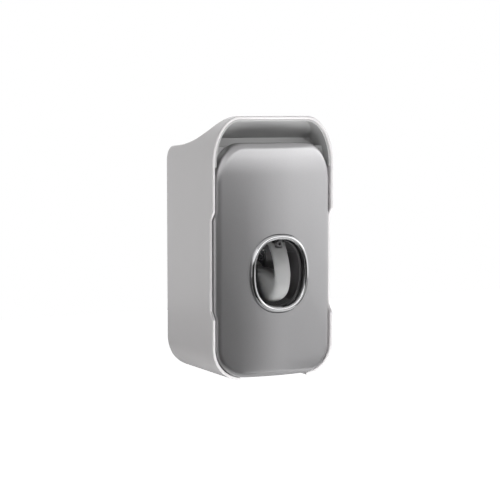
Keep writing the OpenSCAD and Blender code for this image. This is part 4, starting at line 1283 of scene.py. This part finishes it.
class MakeStage(bpy.types.Operator):
    """Set the pale floor, the studio lights and the camera"""

    bl_idname = "dispenser.make_stage"
    bl_label = "Stage"

    def execute(self, context):
        scene = context.scene
        floor_height = -0.9
        self.make_floor(floor_height)
        self.make_flag(floor_height)
        self.make_ceiling(0.5)
        self.make_bands()
        self.make_world(scene)
        for name, azimuth, elevation, distance, width, height, watts in (
            ("key_light", 70, -22, 1.4, 1.2, 0.7, 12.5),
            ("low_light", 38, -42, 0.8, 0.5, 0.4, 2.6),
            ("fill_light", -23, -30, 0.8, 0.5, 0.4, 3.4),
            ("side_light", -112, -8, 1.3, 0.6, 1.0, 2.5),
            ("top_light", 170, 62, 1.4, 1.0, 1.0, 12),
        ):
            self.make_lamp(scene, name, "AREA", STAGE_CENTRE, azimuth, elevation, distance, {
                "shape": "RECTANGLE", "size": width, "size_y": height, "energy": watts})
        beside_blade = sum(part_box("trim_ring"), Vector()) / 2 + Vector((-12, 0, -7)) * MM
        niche = Vector((0, panel_high.y - 10 * MM, panel_high.z + 6 * MM))
        for name, aim, azimuth, elevation, distance, cone, watts in (
            ("lever_spot", beside_blade, -31, -10, 0.6, 2.6, 20),
            ("niche_spot", niche, -8, 26, 0.9, 7.5, 10),
        ):
            self.make_lamp(scene, name, "SPOT", aim, azimuth, elevation, distance, {
                "spot_size": math.radians(cone), "spot_blend": 0.8, "shadow_soft_size": 0.02,
                "energy": watts})
        self.make_camera(scene)
        return {"FINISHED"}

    def aimed(self, scene, name, data, target, away, distance):
        """An object of the stage that looks at a target from a direction."""
        thing = bpy.data.objects.new(name, data)
        thing.location = target + away * distance
        thing.rotation_euler = (-away).to_track_quat("-Z", "Y").to_euler()
        scene.collection.objects.link(thing)
        return thing

    def make_lamp(self, scene, name, kind, target, azimuth, elevation, distance, settings):
        """A lamp that the camera and reflections don't show."""
        data = bpy.data.lights.new(name, kind)
        for setting, value in settings.items():
            setattr(data, setting, value)
        away = away_from_part(azimuth, elevation)
        lamp = self.aimed(scene, name, data, target, away, distance)
        lamp.visible_camera = False
        lamp.visible_glossy = False

    def make_floor(self, height):
        """A wide pale floor below the part, which hangs on a wall."""
        half = 6.0
        mesh = bpy.data.meshes.new("floor")
        mesh.from_pydata(
            [(-half, -half, height), (half, -half, height), (half, half, height), (-half, half, height)],
            [], [(0, 1, 2, 3)])
        floor = add_object("floor", mesh)
        material, graph, at = new_material("pale_floor")
        near = graph.blend(graph.noise(at, 3, 2), grey(0.30), grey(0.33))
        dull = graph.add("ShaderNodeBsdfDiffuse", {}, {"Color": near})
        pale = graph.add("ShaderNodeBsdfDiffuse", {}, {"Color": grey(0.75)})
        glow = graph.add("ShaderNodeEmission", {}, {"Color": graph.ray("Camera") * 0.95})
        bright = graph.add("ShaderNodeAddShader", {}, {0: pale, 1: glow})
        seen = graph.ray("Camera", "Glossy", "Transmission")
        surface = graph.add("ShaderNodeMixShader", {}, {0: seen, 1: dull, 2: bright})
        mesh.materials.append(finish_material(material, graph, surface))

    def make_card(self, name, points, faces, tone_of, strength=1.0):
        """A card of the studio that the camera doesn't see."""
        mesh = bpy.data.meshes.new(name)
        mesh.from_pydata(points, [], faces)
        card = add_object(name, mesh)
        material, graph, at = new_material(name)
        place = graph.add("ShaderNodeSeparateXYZ", {}, {"Vector": at})
        surface = graph.add("ShaderNodeEmission", {}, {
            "Color": tone_of(graph, place), "Strength": strength})
        mesh.materials.append(finish_material(material, graph, surface))
        card.visible_camera = False
        return card

    def bent_card(self, name, radius, first, last, low, high, tone_of, strength=1.0):
        """An upright card that is bent round the part from one azimuth to another."""
        steps = 40
        points = []
        for i in range(steps + 1):
            away = away_from_part(first + (last - first) * i / steps, 0) * radius
            for z in (low, high):
                points.append((away.x, STAGE_CENTRE.y + away.y, z))
        faces = [(2 * i, 2 * i + 2, 2 * i + 3, 2 * i + 1) for i in range(steps)]
        return self.make_card(name, points, faces, tone_of, strength)

    def make_flag(self, floor_height):
        """A grey card before the left of the part, paler towards its right and its top."""
        high = 0.16
        gap = 0.005

        def tone_of(graph, place):
            def rise(value, start, end):
                return graph.add("ShaderNodeMapRange", {"interpolation_type": "SMOOTHSTEP"}, {
                    "Value": value, "From Min": start, "From Max": end})

            return 0.02 + rise(place, -0.12, 0.54) * 0.6 + rise(place.output("Z"), 0.04, high) * 0.6

        self.bent_card("grey_flag", 0.9, -100, 33, floor_height + gap, high, tone_of)

    def make_ceiling(self, height):
        """A dark ceiling over the front of the part, paler in reflections."""
        half, front, back = 0.6, -1.0, 0.1
        edge = ((-half, front), (half, front), (half, back), (-half, back))
        self.make_card(
            "ceiling", [(x, y, height) for x, y in edge], [(0, 1, 2, 3)],
            lambda graph, place: 0.08 + graph.ray("Glossy") * 0.45)

    def make_bands(self):
        """Bright bands above and below that only show in glossy surfaces."""
        for name, radius, first, last, low, high, strength in (
            ("high_band", 1.1, -25, 140, 0.17, 0.42, 2.0),
            ("low_band", 0.7, 0, 55, -0.50, -0.41, 1.4),
        ):
            band = self.bent_card(
                name, radius, first, last, low, high, lambda graph, place: WHITE, strength)
            band.visible_diffuse = False
            band.visible_shadow = False

    def make_world(self, scene):
        """A plain grey studio that the camera and reflections see as white."""
        world = bpy.data.worlds.new("studio")
        world.use_nodes = True
        world.node_tree.nodes.clear()
        graph = Graph(world.node_tree)
        seen = graph.ray("Camera", "Glossy", "Transmission")
        surface = graph.add("ShaderNodeBackground", {}, {"Color": 0.22 + seen * 0.78, "Strength": 1.0})
        graph.add("ShaderNodeOutputWorld", {}, {"Surface": surface})
        scene.world = world

    def make_camera(self, scene):
        """The photograph's viewing angle, without any shift."""
        data = bpy.data.cameras.new("camera")
        data.lens = 115.2
        target, distance = Vector((0.0007, -0.045, -0.0139)), 1.243
        away = away_from_part(-27.2, 5.1)
        scene.camera = self.aimed(scene, "camera", data, target, away, distance)
        scene.view_settings.view_transform = "Standard"


OPERATORS = (
    MakeShell, MakeBack, MakeRack, MakeFrontPanel, MakeTrimRing, MakeChamber, MakeLever,
    MakePump, MakeBulb, MakeScrews, MakeCatch, MakeStage,
)


class DispenserPanel(bpy.types.Panel):
    """Lists the dispenser's pieces, sizes and colours"""

    bl_idname = "VIEW3D_PT_dispenser"
    bl_label = "Dispenser"
    bl_space_type = "VIEW_3D"
    bl_region_type = "UI"
    bl_category = "Dispenser"

    def draw(self, context):
        for group in (context.scene.dispenser_sizes, context.scene.dispenser_colours):
            box = self.layout.box()
            for name in group.bl_rna.properties.keys():
                if name not in ("rna_type", "name"):
                    box.prop(group, name)
        for operator in OPERATORS:
            self.layout.operator(operator.bl_idname)


CLASSES = (DispenserSizes, DispenserColours) + OPERATORS + (DispenserPanel,)


def register():
    for one in CLASSES:
        bpy.utils.register_class(one)
    bpy.types.Scene.dispenser_sizes = bpy.props.PointerProperty(type=DispenserSizes)
    bpy.types.Scene.dispenser_colours = bpy.props.PointerProperty(type=DispenserColours)


def unregister():
    del bpy.types.Scene.dispenser_colours
    del bpy.types.Scene.dispenser_sizes
    for one in reversed(CLASSES):
        bpy.utils.unregister_class(one)


def main():
    register()
    bpy.ops.dispenser.make_shell()
    bpy.ops.dispenser.make_back()
    bpy.ops.dispenser.make_rack()
    bpy.ops.dispenser.make_front_panel()
    bpy.ops.dispenser.make_trim_ring()
    bpy.ops.dispenser.make_chamber()
    bpy.ops.dispenser.make_lever()
    bpy.ops.dispenser.make_pump()
    bpy.ops.dispenser.make_bulb()
    bpy.ops.dispenser.make_screws()
    bpy.ops.dispenser.make_catch()
    bpy.ops.dispenser.make_stage()
    bpy.context.view_layer.update()


if __name__ == "__main__":
    main()
